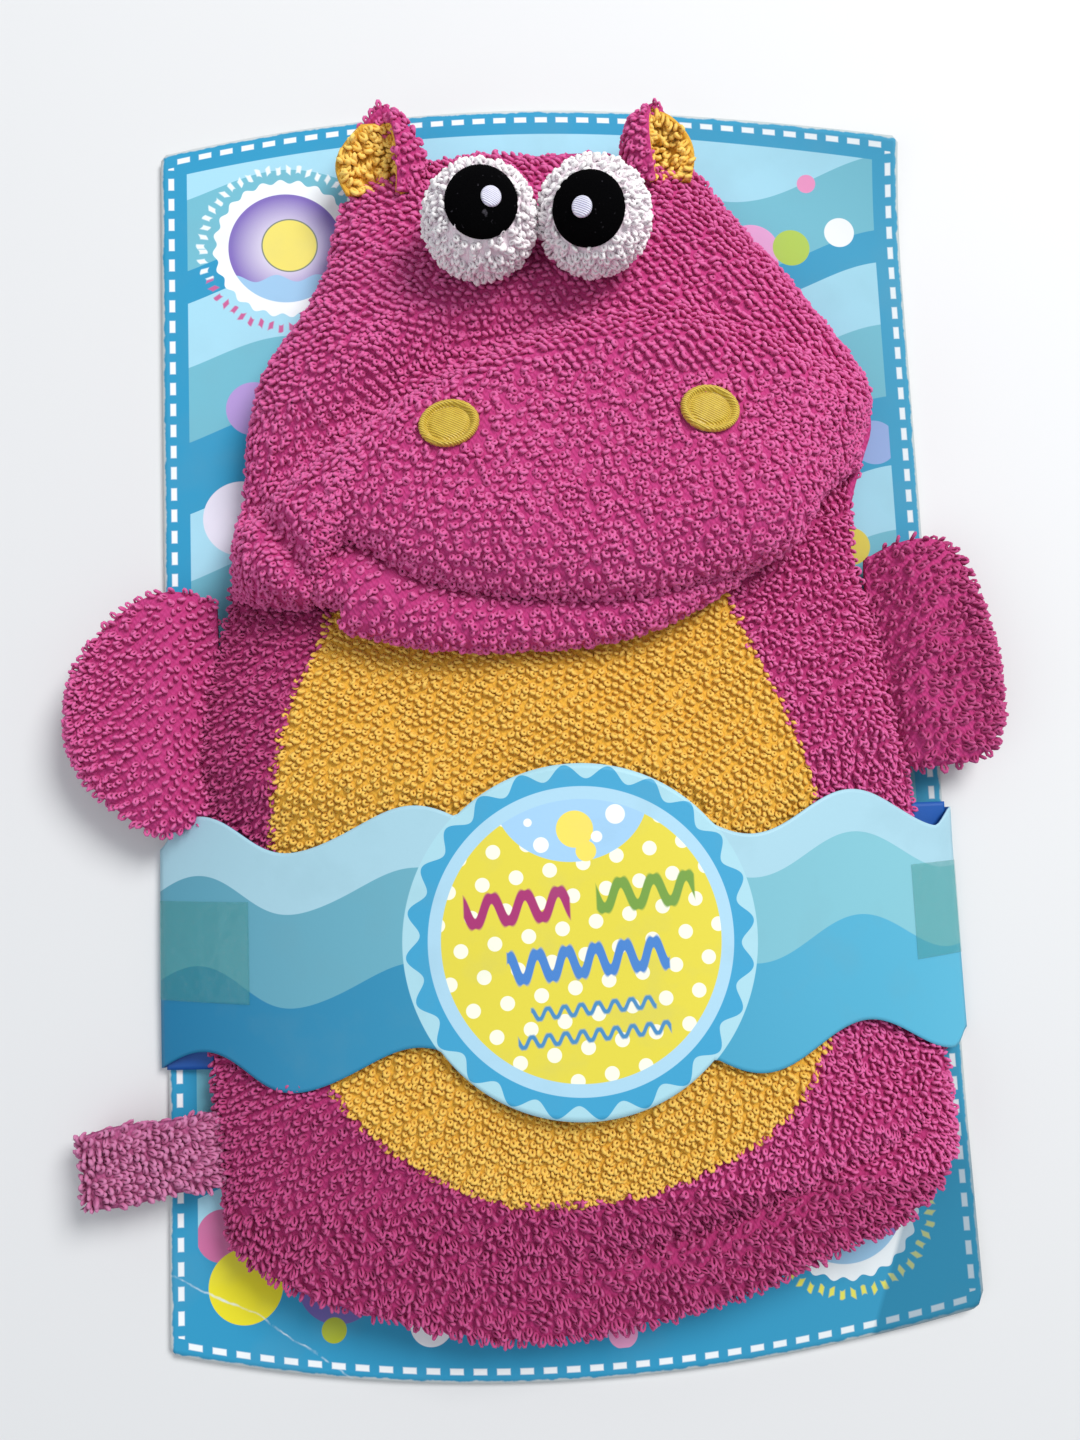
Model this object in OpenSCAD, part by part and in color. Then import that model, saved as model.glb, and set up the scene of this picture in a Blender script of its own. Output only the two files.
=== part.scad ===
// Animal hand-puppet wash mitt in terry towelling, lying on its back on the card it
// is sold on and held there by a printed paper wrap. +X is to the right, +Y is from the
// hem to the top of the head, +Z is up. The floor is z = 0, and the origin is in the
// middle of the whole object's footprint.

/* [Card and wrap] */
// Width of the backing card
card_w = 165; // [160:1:175]
// Height of the backing card along its straight sides
card_h = 255; // [245:1:265]
// Rise of the arched ends of the card
card_arch = 9; // [4:0.5:12]
// Thickness of the backing card
card_t = 0.8; // [0.5:0.1:1.2]
// Middle of the card, to the right of the origin
card_x = 2.5; // [0:0.5:4]
// Thickness of the paper wrap
wrap_t = 0.5; // [0.3:0.1:0.6]
// Middle of the wrap along the card
wrap_y = -47.3; // [-50:0.1:-42]
// Width of the wrap between its wavy edges
wrap_w = 46; // [40:1:50]
// Rise and fall of the wrap's wavy edges
wave_h = 4.1; // [2:0.2:5]
// Radius of the round badge in the middle of the wrap
badge_r = 34; // [30:0.5:36]
// Depth of the flaps that are turned under the card
flap_w = 22; // [15:1:40]
// Height of the wrap over the middle of the mitt
wrap_rise = 20.2; // [19.8:0.1:24]

/* [Mitt] */
// Thickness of the terry towelling, with its loops
cloth_t = 2.5; // [2:0.1:2.8]
// Middle line of the mitt, to the right of the origin
mitt_x = 3; // [2:0.5:4]
// Half the width of the mitt at its widest
mitt_half_w = 74; // [70:0.5:75]
// Where the hem meets the side seams
hem_side_y = -106; // [-110:1:-100]
// How far the hem bows out in the middle
hem_bow = 20; // [10:1:24]
// Height that the belly arches above the seams
belly_rise = 14; // [10:0.5:14.5]
// Height that the cloth arches above the seams at the hem and at the neck
mouth_rise = 7; // [6.5:0.5:9]
// Half the width of the yellow belly panel
belly_half_w = 57.5; // [50:0.5:60]
// Half the height of the yellow belly panel
belly_half_h = 70.5; // [60:0.5:72]

/* [Head] */
// Middle line of the head, to the right of the origin
head_x = 5; // [4:0.5:6]
// Height of the muzzle above the floor
muzzle_z = 33; // [30:0.5:34]
// Outside radius of a stuffed eye
eye_r = 11.2; // [10:0.1:11.3]
// Radius of a black felt pupil
pupil_r = 6.7; // [5:0.1:7.5]
// Radius of the embroidered light in a pupil
glint_r = 2.2; // [1:0.1:3]
// Half the width and height of a nostril
nostril = [6.2, 4.8]; // [4:0.1:7]
// Thickness of an ear
ear_t = 2.4; // [2:0.1:3]

/* [Arms and hanging loop] */
// Length of the left arm from its seam
left_arm_l = 27.4; // [24:0.1:30]
// Length of the right arm from its seam
right_arm_l = 22.6; // [20:0.1:26]
// Half the width of an arm
arm_half_w = 24.5; // [20:0.5:25]
// Half the thickness of an arm
arm_half_t = 4.4; // [3:0.1:4.6]
// Length of the hanging loop
loop_l = 22.5; // [20:0.5:24]
// Width of the hanging loop's strap
loop_w = 16; // [12:0.5:18]
// Thickness of the strap
strap_t = 2; // [1.5:0.1:2.2]
// Space for a hook between the two runs of the strap
loop_gap = 4.6; // [4.4:0.1:5]

/* [Hidden] */
$fn = 64;
// Heights of the stack: flap, card, back panel, side seams
clear = 0.15;
card_z = wrap_t + 0.05;
back_z = card_z + card_t + clear;
seam_z = back_z + cloth_t;
corner_r = 4;
// Wave along the wrap's edges: crest to crest, and a crest's place right of the middle
wave_length = card_w * 0.267;
wave_at = 14;
// Middle of the badge, right of the card's middle
badge_x = 1.7;
// Across a panel, the cloth lies flat on the seam beyond this share of the half width
seam_share = 0.93;
panel_rows = 14;
panel_cols = 20;
// Lines across the mitt: top of the body panels, bottom and top of the throat panel
neck_y = 2;
throat_y = [9, 23.5];
head_y = [25, 122.5];
// The two eyes, the cloth slope that they sit on, and the slope's height below them
eye_left = [-10.3, 93.8];
eye_right = [12.4, 94.2];
eye_z = 30.3;
brow_slope = -22.2;
eye_seat_z = 22.6;
felt_t = 0.8;
glint_t = 0.6;
// How far each pupil sits from the middle of its eye
look_left = [0.5, -1.6];
look_right = [-1.5, -2.6];
// Middle of the base of each ear
ear_left_at = [-31.5, 111.5, 9.2];
ear_right_at = [31, 112.5, 12.6];
// Seams that the arms and the loop hang from: middle of the seam and its lean
arm_left_at = [-69.6, 3];
arm_right_at = [74.6, 7];
arm_lean = 7;
arm_z = 8.3;
loop_at = [-71.9, -86.5];
loop_lean = 7;
loop_z = 2;

pink = [0.80, 0.24, 0.50];
yellow = [0.90, 0.68, 0.18];
white_cloth = [0.88, 0.85, 0.86];
board_blue = [0.30, 0.68, 0.82];
board_pale = [0.62, 0.83, 0.90];

// ---- helpers ----

// A closed cloth sheet between two grids of points, given as rows
module sheet(top, bottom) {
    rows = len(top);
    cols = len(top[0]);
    under = rows * cols;
    last = cols - 1;
    function at(r, c) = r * cols + c;
    cells = [for (r = [0 : rows - 2], c = [0 : last - 1]) [r, c]];
    upper = [for (k = cells) each [
        [at(k[0], k[1]), at(k[0] + 1, k[1]), at(k[0] + 1, k[1] + 1)],
        [at(k[0], k[1]), at(k[0] + 1, k[1] + 1), at(k[0], k[1] + 1)]]];
    lower = [for (f = upper) [f[2] + under, f[1] + under, f[0] + under]];
    rim = concat(
        [for (c = [0 : last]) at(0, c)],
        [for (r = [1 : rows - 1]) at(r, last)],
        [for (c = [last - 1 : -1 : 0]) at(rows - 1, c)],
        [for (r = [rows - 2 : -1 : 1]) at(r, 0)]);
    sides = [for (i = [0 : len(rim) - 1])
        let (a = rim[i], b = rim[(i + 1) % len(rim)]) each [
            [a, b, b + under], [a, b + under, a + under]]];
    polyhedron([for (row = top) each row, for (row = bottom) each row],
        concat(upper, lower, sides));
}

// The same grid of points moved straight down by t
function dropped(grid, t) = [for (row = grid) [for (p = row) p - [0, 0, t]]];

// Rise of an arched panel at v, from -1 at one seam to 1 at the other
function crown(v) = max(0, 1 - pow(abs(v) / seam_share, 3));

// Superellipse outline
function oval(rx, ry, power, sides) = [for (i = [0 : sides - 1])
    let (a = 360 * i / sides, c = cos(a), s = sin(a))
    [rx * sign(c) * pow(abs(c), 2 / power), ry * sign(s) * pow(abs(s), 2 / power)]];

// Half the width of the mitt at y
function mitt_half(y) = mitt_half_w * lookup(y,
    [[-126, 0.955], [-95, 0.99], [-60, 1], [-20, 1], [-5, 0.975], [15, 0.93], [25, 0.90]]);
// Half the width of the head at y
function head_half(y) = lookup(y,
    [[9, 66], [30, 64], [45, 65.5], [58, 66], [70, 63], [80, 57], [92, 49], [105, 41],
     [112, 35], [117, 28], [120.5, 18], [122.5, 8]]);
// Height of the head's face at y, on its middle line
function head_top(y) = lookup(y,
    [[25, 25.5], [40, 0.9 * muzzle_z], [54, muzzle_z], [66, muzzle_z], [77, 29.2],
     [101, 19.4], [112, 13.5], [122.5, 7.5]]);
// Height of the head's face anywhere on it
function head_z(x, y) = seam_z + cloth_t
    + (head_top(y) - seam_z - cloth_t) * crown((x - head_x) / head_half(y));

// ---- card and wrap ----

// Outline of one arched end of the card, from left to right
function arch_points(steps) = [for (i = [0 : steps])
    let (s = -1 + 2 * i / steps)
    [s * (card_w / 2 - corner_r), card_h / 2 + card_arch * (1 - s * s)]];

module card_outline() {
    end = arch_points(20);
    side = card_w / 2;
    low = card_h / 2 - corner_r;
    // middle of each rounded corner
    mid = [side - corner_r * (1 - cos(45)), low + corner_r * sin(45)];
    polygon(concat(
        [[-side, -low], [-side, low], [-mid[0], mid[1]]], end,
        [mid, [side, low], [side, -low], [mid[0], -mid[1]]],
        [for (i = [len(end) - 1 : -1 : 0]) [end[i][0], -end[i][1]]],
        [[-mid[0], -mid[1]]]));
}

module backing_card() {
    color(board_blue)
        translate([card_x, 0, card_z]) linear_extrude(card_t) card_outline();
}

// Half the width of the wrap where it folds round the card
wrap_fold = card_w / 2 + 0.7;
// Height of the wrap's inner face at x from the card's middle
function wrap_z(x) = 1.6 + wrap_rise * (1 - pow(abs(x) / wrap_fold, 2.7));

// The wrap's path seen from the hem, offset outwards by out
function wrap_path(out) = concat(
    [[-wrap_fold + flap_w, wrap_t - out], [-wrap_fold - out, wrap_t - out]],
    [for (i = [-20 : 20]) let (x = wrap_fold * i / 20) [x * (1 + out / wrap_fold), wrap_z(x) + out]],
    [[wrap_fold + out, wrap_t - out], [wrap_fold - flap_w, wrap_t - out]]);

// The wrap's edges in plan: a wave on both sides, and the round badge standing out of it
function wave(x) = wave_h * cos(360 * (x - wave_at) / wave_length);
function badge_y(x) = sqrt(max(0, badge_r * badge_r - pow(x - badge_x, 2)));
function wrap_top(x) = max(wrap_w / 2 + wave(x), badge_y(x));
function wrap_bottom(x) = min(-wrap_w / 2 + wave(x), -badge_y(x));

module wrap_outline() {
    side = card_w / 2 + 3;
    xs = [for (i = [-50 : 50]) side * i / 50];
    translate([card_x, wrap_y])
        polygon(concat([for (x = xs) [x, wrap_top(x)]],
            [for (i = [len(xs) - 1 : -1 : 0]) [xs[i], wrap_bottom(xs[i])]]));
}

module wrap_band() {
    color(board_pale)
        intersection() {
            linear_extrude(60, center = true) wrap_outline();
            translate([card_x, wrap_y, 0]) rotate([90, 0, 0])
                linear_extrude(2 * badge_r + 10, center = true)
                    polygon(concat(wrap_path(wrap_t),
                        [for (i = [len(wrap_path(0)) - 1 : -1 : 0]) wrap_path(0)[i]]));
        }
}

// A point over the wrap, in from its fold and out from its inner face
function tape_point(side, in, out) = let (x = wrap_fold - in)
    [side * x * (1 + out / wrap_fold), wrap_z(x) + out];

// Clear tape over the wrap and round its fold; side is -1 on the left and 1 on the right
module wrap_tape(side, tape_y, tape_w, reach) {
    tape_t = 0.15;
    tape_foot = 0.3;
    gap = wrap_t + 0.02;
    color([0.75, 0.88, 0.85, 0.5])
        translate([card_x, tape_y, 0]) rotate([90, 0, 0])
            linear_extrude(tape_w, center = true)
                polygon(concat(
                    [for (i = [0 : 6]) tape_point(side, reach * (6 - i) / 6, gap)],
                    [[side * (wrap_fold + gap), tape_foot],
                     [side * (wrap_fold + gap + tape_t), tape_foot]],
                    [for (i = [6 : -1 : 0]) tape_point(side, reach * (6 - i) / 6, gap + tape_t)]));
}
module wrap_tape_left() { wrap_tape(-1, wrap_y, 18, 19); }
module wrap_tape_right() { wrap_tape(1, wrap_y + 0.5, 17, 12); }

// ---- body of the mitt ----

// A point's y between the neck line (u = 0) and the bowed hem (u = 1)
function mitt_y(u, v) = neck_y + u * (hem_side_y - hem_bow * (1 - v * v) - neck_y);
// Rise of the front of the mitt along its length
function front_rise(u) = lookup(u, [[0, mouth_rise], [0.12, mouth_rise + 3],
    [0.3, belly_rise - 1], [0.45, belly_rise], [0.7, belly_rise - 1],
    [0.9, mouth_rise + 2], [1, mouth_rise]]);

front_grid = [for (r = [0 : panel_rows]) [for (c = [0 : panel_cols])
    let (u = r / panel_rows, v = 1 - 2 * c / panel_cols,
         half = mitt_half(neck_y + u * (hem_side_y - neck_y)))
    [mitt_x + half * v, mitt_y(u, v), seam_z + cloth_t + front_rise(u) * crown(v)]]];

module mitt_outline() {
    rows = panel_rows;
    polygon(concat(
        [for (r = [0 : rows]) let (y = neck_y + r / rows * (hem_side_y - neck_y))
            [mitt_x - mitt_half(y), y]],
        [for (c = [1 : panel_cols - 1]) let (v = -1 + 2 * c / panel_cols)
            [mitt_x + mitt_half(hem_side_y) * v, mitt_y(1, v)]],
        [for (r = [rows : -1 : 0]) let (y = neck_y + r / rows * (hem_side_y - neck_y))
            [mitt_x + mitt_half(y), y]]));
}

module back_panel() {
    color(pink)
        translate([0, 0, back_z]) linear_extrude(cloth_t) mitt_outline();
}

module belly_prism() {
    translate([0.5, -27, 0])
        linear_extrude(80, center = true)
            polygon(oval(belly_half_w, belly_half_h, 2.3, 48));
}

module front_panel() {
    color(pink)
        difference() {
            sheet(front_grid, dropped(front_grid, cloth_t));
            belly_prism();
        }
}

module belly_panel() {
    color(yellow)
        intersection() {
            sheet(front_grid, dropped(front_grid, cloth_t));
            belly_prism();
        }
}

// ---- head ----

module head_back_panel() {
    ys = [for (i = [0 : 24]) throat_y[0] + (head_y[1] - throat_y[0]) * sin(90 * i / 24)];
    color(pink)
        translate([0, 0, back_z]) linear_extrude(cloth_t)
            polygon(concat(
                [for (y = ys) [head_x - head_half(y), y]],
                [for (i = [24 : -1 : 0]) [head_x + head_half(ys[i]), ys[i]]]));
}

module head_front_panel() {
    rows = 22;
    grid = [for (r = [0 : rows]) [for (c = [0 : panel_cols])
        let (y = head_y[0] + (head_y[1] - head_y[0]) * sin(90 * r / rows),
             v = -1 + 2 * c / panel_cols)
        [head_x + head_half(y) * v, y, head_z(head_x + head_half(y) * v, y)]]];
    color(pink) sheet(grid, dropped(grid, cloth_t));
}

// Cloth of the throat, under the jaw, from the neck to the face
module throat_panel() {
    grid = [for (r = [0 : 3]) [for (c = [0 : panel_cols])
        let (y = throat_y[0] + (throat_y[1] - throat_y[0]) * r / 3, v = -1 + 2 * c / panel_cols)
        [head_x + head_half(y) * v, y, seam_z + cloth_t + mouth_rise * crown(v)]]];
    color(pink) sheet(grid, dropped(grid, cloth_t));
}

// The lower lip: a soft crescent roll with its ends turned up beside the cheeks
jaw_half_w = 50;
function jaw_mid_y(v) = 14.5 + 8.4 * v * v;
function jaw_mid_z(v) = 23.2 - 5.5 * v * v;
module lower_jaw() {
    rows = 16;
    around = 12;
    rings = [for (r = [0 : rows])
        let (v = -1 + 2 * r / rows, size = max(0.12, pow(1 - pow(abs(v), 3.2), 0.5)))
        [for (k = [0 : around - 1]) let (a = 360 * k / around)
            [head_x - 7 + jaw_half_w * v,
             jaw_mid_y(v) + 6.8 * size * cos(a),
             jaw_mid_z(v) + 4.3 * size * sin(a)]]];
    faces = concat(
        [for (r = [0 : rows - 1], k = [0 : around - 1])
            let (a = r * around + k, b = r * around + (k + 1) % around) each [
                [a, a + around, b + around], [a, b + around, b]]],
        [[for (k = [0 : around - 1]) k]],
        [[for (k = [around - 1 : -1 : 0]) rows * around + k]]);
    color(pink) polyhedron([for (ring = rings) each ring], faces);
}

// The mouth's lining is a folded oval: one half rides on the face, the other on the jaw
lining_t = 1.2;
lining_half_w = 24;
module lining_half(front_y, front_z, deep_y, deep_z) {
    run = [deep_y - front_y, deep_z - front_z];
    translate([head_x - 4, front_y, front_z])
        rotate([atan2(run[1], run[0]), 0, 0])
            linear_extrude(lining_t)
                polygon(concat([[-lining_half_w, 0]],
                    [for (i = [0 : 16]) let (a = 180 - 180 * i / 16)
                        [lining_half_w * cos(a), norm(run) * (0.35 + 0.65 * sin(a))]],
                    [[lining_half_w, 0]]));
}
module mouth_upper_lining() { color(pink) lining_half(24.6, 18.6, 31, 14); }
module mouth_lower_lining() { color(pink) lining_half(21.8, 18.4, 27.6, 14.2); }

// Half-space above the sloping cloth that an eye is sewn to, raised by lift
module above_seat(at, lift) {
    translate([at[0], at[1], eye_seat_z + lift]) rotate([brow_slope, 0, 0])
        translate([0, 0, 20]) cube([60, 60, 40], center = true);
}
module eye_ball(at, r) { translate([at[0], at[1], eye_z]) sphere(r = r, $fn = 48); }

module eye_cover(at) {
    cover_t = 1.8;
    color(white_cloth)
        difference() {
            intersection() {
                eye_ball(at, eye_r);
                above_seat(at, 0);
            }
            intersection() {
                eye_ball(at, eye_r - cover_t);
                above_seat(at, 1);
            }
        }
}
module eye_wadding(at) {
    color("white")
        intersection() {
            eye_ball(at, eye_r - 1.9);
            above_seat(at, 1.1);
        }
}
// A round patch on an eye, off its middle by off, whose inside lies on a ball of radius inner
module eye_patch(at, off, r, inner, thick) {
    intersection() {
        translate([at[0] + off[0], at[1] + off[1], eye_z]) cylinder(r = r, h = 2 * eye_r);
        difference() {
            eye_ball(at, inner + thick);
            eye_ball(at, inner);
        }
    }
}
module pupil(at, off) {
    color([0.02, 0.02, 0.02]) eye_patch(at, off, pupil_r, eye_r + 0.02, felt_t);
}
module pupil_glint(at, off) {
    color([0.85, 0.85, 0.97]) eye_patch(at, off, glint_r, eye_r + felt_t + 0.04, glint_t);
}
module eye_cover_left() { eye_cover(eye_left); }
module eye_wadding_left() { eye_wadding(eye_left); }
module pupil_left() { pupil(eye_left, look_left); }
module pupil_glint_left() { pupil_glint(eye_left, look_left); }
module eye_cover_right() { eye_cover(eye_right); }
module eye_wadding_right() { eye_wadding(eye_right); }
module pupil_right() { pupil(eye_right, look_right); }
module pupil_glint_right() { pupil_glint(eye_right, look_right); }

// A satin-stitched oval that lies on the face; lean turns it in plan, tip follows the cheek
module nostril_patch(at, lean, tip) {
    color([0.90, 0.78, 0.16])
        translate([at[0], at[1], head_z(at[0], at[1]) + 0.8]) rotate([0, tip, lean])
            linear_extrude(1.4) polygon(oval(nostril[0], nostril[1], 2, 32));
}
module nostril_left() { nostril_patch([-16.9, 51.5], 12, -3); }
module nostril_right() { nostril_patch([32, 52.5], -8, 12); }

// An ear is a leaf of two cloths, outer and lining, that leans outwards; side as for tape.
// The leaf starts up from the ear's base by back, and above the ear's underside by low.
module ear_leaf(side, at, size, back, low, thick) {
    translate(at) rotate([18, 0, side * -14])
        translate([0, back, low]) linear_extrude(thick)
            polygon([for (i = [0 : 20]) let (a = 180 * i / 20)
                [size[0] * cos(a) * (1 + 0.25 * sin(a)), size[1] * pow(sin(a), 0.8)]]);
}
module ear_outer(side, at) { color(pink) ear_leaf(side, at, [8.5, 16.5], 0, 0, ear_t); }
module ear_lining(side, at) {
    color(yellow) ear_leaf(side, at, [6.6, 13], 0.8, ear_t + 0.02, 1.8);
}
module ear_outer_left() { ear_outer(-1, ear_left_at); }
module ear_lining_left() { ear_lining(-1, ear_left_at); }
module ear_outer_right() { ear_outer(1, ear_right_at); }
module ear_lining_right() { ear_lining(1, ear_right_at); }

// ---- arms and loop ----

// Half of an arm: up is 1 for the front cloth and -1 for the back cloth
module arm_half(side, at, length, up) {
    rows = 10;
    cols = 12;
    function reach(r) = sin(90 * r / rows);
    function half_w(s) = arm_half_w * max(0.06, pow(1 - pow(s, 2.4), 1 / 2.4));
    function swell(s, v) = (0.3 + 0.7 * sqrt(max(0, 1 - pow(2 * s - 1, 2))))
        * (0.25 + 0.75 * sqrt(max(0, 1 - pow(abs(v), 2.5)))) * (s > 0.98 ? 0.5 : 1);
    outer = [for (r = [0 : rows]) [for (c = [0 : cols])
        let (s = reach(r), v = (-1 + 2 * c / cols) * -side * up)
        [side * length * s, half_w(s) * v, up * (0.1 + (arm_half_t - 0.1) * swell(s, v))]]];
    inner = [for (row = outer) [for (p = row) [p[0], p[1], up * 0.05]]];
    color(pink)
        translate([at[0], at[1], arm_z]) rotate([0, 0, side * arm_lean])
            sheet(outer, inner);
}
module arm_front_left() { arm_half(-1, arm_left_at, left_arm_l, 1); }
module arm_back_left() { arm_half(-1, arm_left_at, left_arm_l, -1); }
module arm_front_right() { arm_half(1, arm_right_at, right_arm_l, 1); }
module arm_back_right() { arm_half(1, arm_right_at, right_arm_l, -1); }

// A strap folded back on itself, open at its sewn end
module hanging_loop() {
    outer_h = loop_gap + 2 * strap_t;
    module bent(h) {
        translate([-loop_l + h / 2, 0]) circle(d = h);
        translate([-loop_l + h / 2, -h / 2]) square([loop_l - h / 2, h]);
    }
    color(pink)
        translate([loop_at[0], loop_at[1], loop_z + outer_h / 2]) rotate([0, 0, loop_lean])
            rotate([90, 0, 0]) linear_extrude(loop_w, center = true)
                difference() {
                    bent(outer_h);
                    translate([strap_t, 0]) bent(loop_gap);
                    translate([-1, -loop_gap / 2]) square([2, loop_gap]);
                }
}

backing_card();
wrap_band();
wrap_tape_left();
wrap_tape_right();
back_panel();
front_panel();
belly_panel();
head_back_panel();
head_front_panel();
throat_panel();
mouth_upper_lining();
lower_jaw();
mouth_lower_lining();
eye_cover_left();
eye_wadding_left();
pupil_left();
pupil_glint_left();
eye_cover_right();
eye_wadding_right();
pupil_right();
pupil_glint_right();
nostril_left();
nostril_right();
ear_outer_left();
ear_lining_left();
ear_outer_right();
ear_lining_right();
arm_front_left();
arm_back_left();
arm_front_right();
arm_back_right();
hanging_loop();
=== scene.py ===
"""Looks of the terry hand-puppet wash mitt on its card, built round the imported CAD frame.

All shapes are worked out in millimetres in the row frame and turned into metres when a mesh is made.
Cloth is a grid of points with a thickness; towelling is real yarn loops set in rows on that grid.
"""

import math

import bpy
import numpy as np
from mathutils import Matrix, Vector


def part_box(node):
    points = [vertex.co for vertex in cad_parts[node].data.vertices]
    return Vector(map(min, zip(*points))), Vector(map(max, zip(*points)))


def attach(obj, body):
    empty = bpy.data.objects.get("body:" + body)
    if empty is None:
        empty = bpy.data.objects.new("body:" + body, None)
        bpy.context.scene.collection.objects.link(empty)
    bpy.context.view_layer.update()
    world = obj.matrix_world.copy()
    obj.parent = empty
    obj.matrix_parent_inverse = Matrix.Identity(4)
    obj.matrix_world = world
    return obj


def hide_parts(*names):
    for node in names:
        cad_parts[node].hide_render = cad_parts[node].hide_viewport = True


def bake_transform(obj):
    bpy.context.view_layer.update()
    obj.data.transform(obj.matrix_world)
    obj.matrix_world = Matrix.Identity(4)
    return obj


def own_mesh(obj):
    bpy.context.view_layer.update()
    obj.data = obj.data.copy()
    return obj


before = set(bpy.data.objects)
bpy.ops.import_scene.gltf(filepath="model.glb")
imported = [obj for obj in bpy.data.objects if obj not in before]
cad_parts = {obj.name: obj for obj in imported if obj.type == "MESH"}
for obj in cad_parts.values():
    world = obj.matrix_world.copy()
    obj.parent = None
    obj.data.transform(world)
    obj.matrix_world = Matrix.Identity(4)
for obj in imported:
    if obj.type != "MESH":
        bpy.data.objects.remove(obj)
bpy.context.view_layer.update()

MM = 0.001
TAU = 2 * math.pi


def box_mm(node):
    """Lowest and highest corner of a CAD node, in millimetres."""
    lo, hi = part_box(node)
    return np.array(lo) / MM, np.array(hi) / MM


card_lo, card_hi = box_mm("backing_card")
card_x = (card_lo[0] + card_hi[0]) / 2
card_half = (card_hi[0] - card_lo[0]) / 2
card_top_z = card_hi[2]
back_lo, back_hi = box_mm("back_panel")
seam_z = back_hi[2] + 0.5
under_z = back_lo[2] + 1.0

# ---- small tools ----


def smooth(t):
    """0 to 1 with flat ends."""
    t = np.clip(t, 0, 1)
    return t * t * (3 - 2 * t)


def mix(a, b, t):
    return a + (b - a) * t


def bump(x, middle, width):
    """A soft hill of height 1."""
    return np.exp(-(((x - middle) / width) ** 2))


def table(*points):
    """A smooth curve through (x, y) points, level beyond its ends."""
    xs, ys = np.array(points, float).T
    slope = np.gradient(ys, xs)

    def at(x):
        x = np.clip(np.asarray(x, float), xs[0], xs[-1])
        i = np.clip(np.searchsorted(xs, x) - 1, 0, len(xs) - 2)
        h = xs[i + 1] - xs[i]
        t = (x - xs[i]) / h
        return (
            ys[i] * (1 + 2 * t) * (1 - t) ** 2
            + ys[i + 1] * t * t * (3 - 2 * t)
            + h * (slope[i] * t * (1 - t) ** 2 - slope[i + 1] * t * t * (1 - t))
        )

    return at


def lumps(x, y, size, seed):
    """Slow soft unevenness between about -1 and 1, from a few crossed waves."""
    r = np.random.default_rng(seed)
    total = 0
    for _ in range(6):
        angle, phase = r.uniform(0, TAU, 2)
        k = TAU / (size * r.uniform(0.7, 1.6))
        total = total + np.sin(k * (x * math.cos(angle) + y * math.sin(angle)) + phase)
    return total / 3


def normals(grid):
    """Unit normals of a grid of points; they point up where x grows along a row and y grows with the rows."""
    along = np.gradient(grid, axis=1)
    up = np.gradient(grid, axis=0)
    n = np.cross(along, up)
    length = np.linalg.norm(n, axis=-1, keepdims=True)
    return n / np.maximum(length, 1e-9)


def put_on(piece, body):
    """Lets a piece ride on a body."""
    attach(piece, body)


# ---- meshes ----


def make_mesh(name, points, faces, material, attributes=None, uv=None):
    """A smooth-shaded mesh object from points in millimetres and an array of quads."""
    me = bpy.data.meshes.new(name)
    faces = np.asarray(faces, np.int32)
    me.vertices.add(len(points))
    me.vertices.foreach_set("co", (np.asarray(points, float) * MM).ravel())
    me.loops.add(faces.size)
    me.loops.foreach_set("vertex_index", faces.ravel())
    me.polygons.add(len(faces))
    me.polygons.foreach_set("loop_start", np.arange(len(faces)) * faces.shape[1])
    me.polygons.foreach_set("use_smooth", np.ones(len(faces), bool))
    for key, values in (attributes or {}).items():
        layer = me.attributes.new(key, "FLOAT", "POINT")
        layer.data.foreach_set("value", np.asarray(values, np.float32))
    if uv is not None:
        layer = me.uv_layers.new(name="Print")
        layer.data.foreach_set("uv", np.asarray(uv, np.float32)[faces.ravel()].ravel())
    me.update(calc_edges=True)
    me.validate()
    me.materials.append(material)
    made = bpy.data.objects.new(name, me)
    bpy.context.scene.collection.objects.link(made)
    return made


def grid_faces(rows, cols, closed=False):
    """Quads of a grid of points, joined round its columns if it is closed."""
    r = np.arange(rows - 1)[:, None]
    c = np.arange(cols if closed else cols - 1)[None, :]
    d = (c + 1) % cols
    return np.stack(
        [r * cols + c, r * cols + d, (r + 1) * cols + d, (r + 1) * cols + c], -1
    ).reshape(-1, 4)


def cloth(name, grid, thick, material, uv=None):
    """A closed piece of cloth: the grid is its outer face, and its inner face lies thick below."""
    rows, cols = grid.shape[:2]
    inner = grid - normals(grid) * thick
    under = rows * cols
    top = grid_faces(rows, cols)
    bottom = top[:, ::-1] + under
    rim = np.concatenate(
        [
            np.arange(cols),
            np.arange(1, rows) * cols + cols - 1,
            (rows - 1) * cols + np.arange(cols - 2, -1, -1),
            np.arange(rows - 2, 0, -1) * cols,
        ]
    )
    after = np.roll(rim, -1)
    side = np.stack([after, rim, rim + under, after + under], -1)
    points = np.concatenate([grid.reshape(-1, 3), inner.reshape(-1, 3)])
    if uv is not None:
        uv = np.concatenate([uv.reshape(-1, 2)] * 2)
    return make_mesh(name, points, np.concatenate([top, bottom, side]), material, uv=uv)


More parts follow.
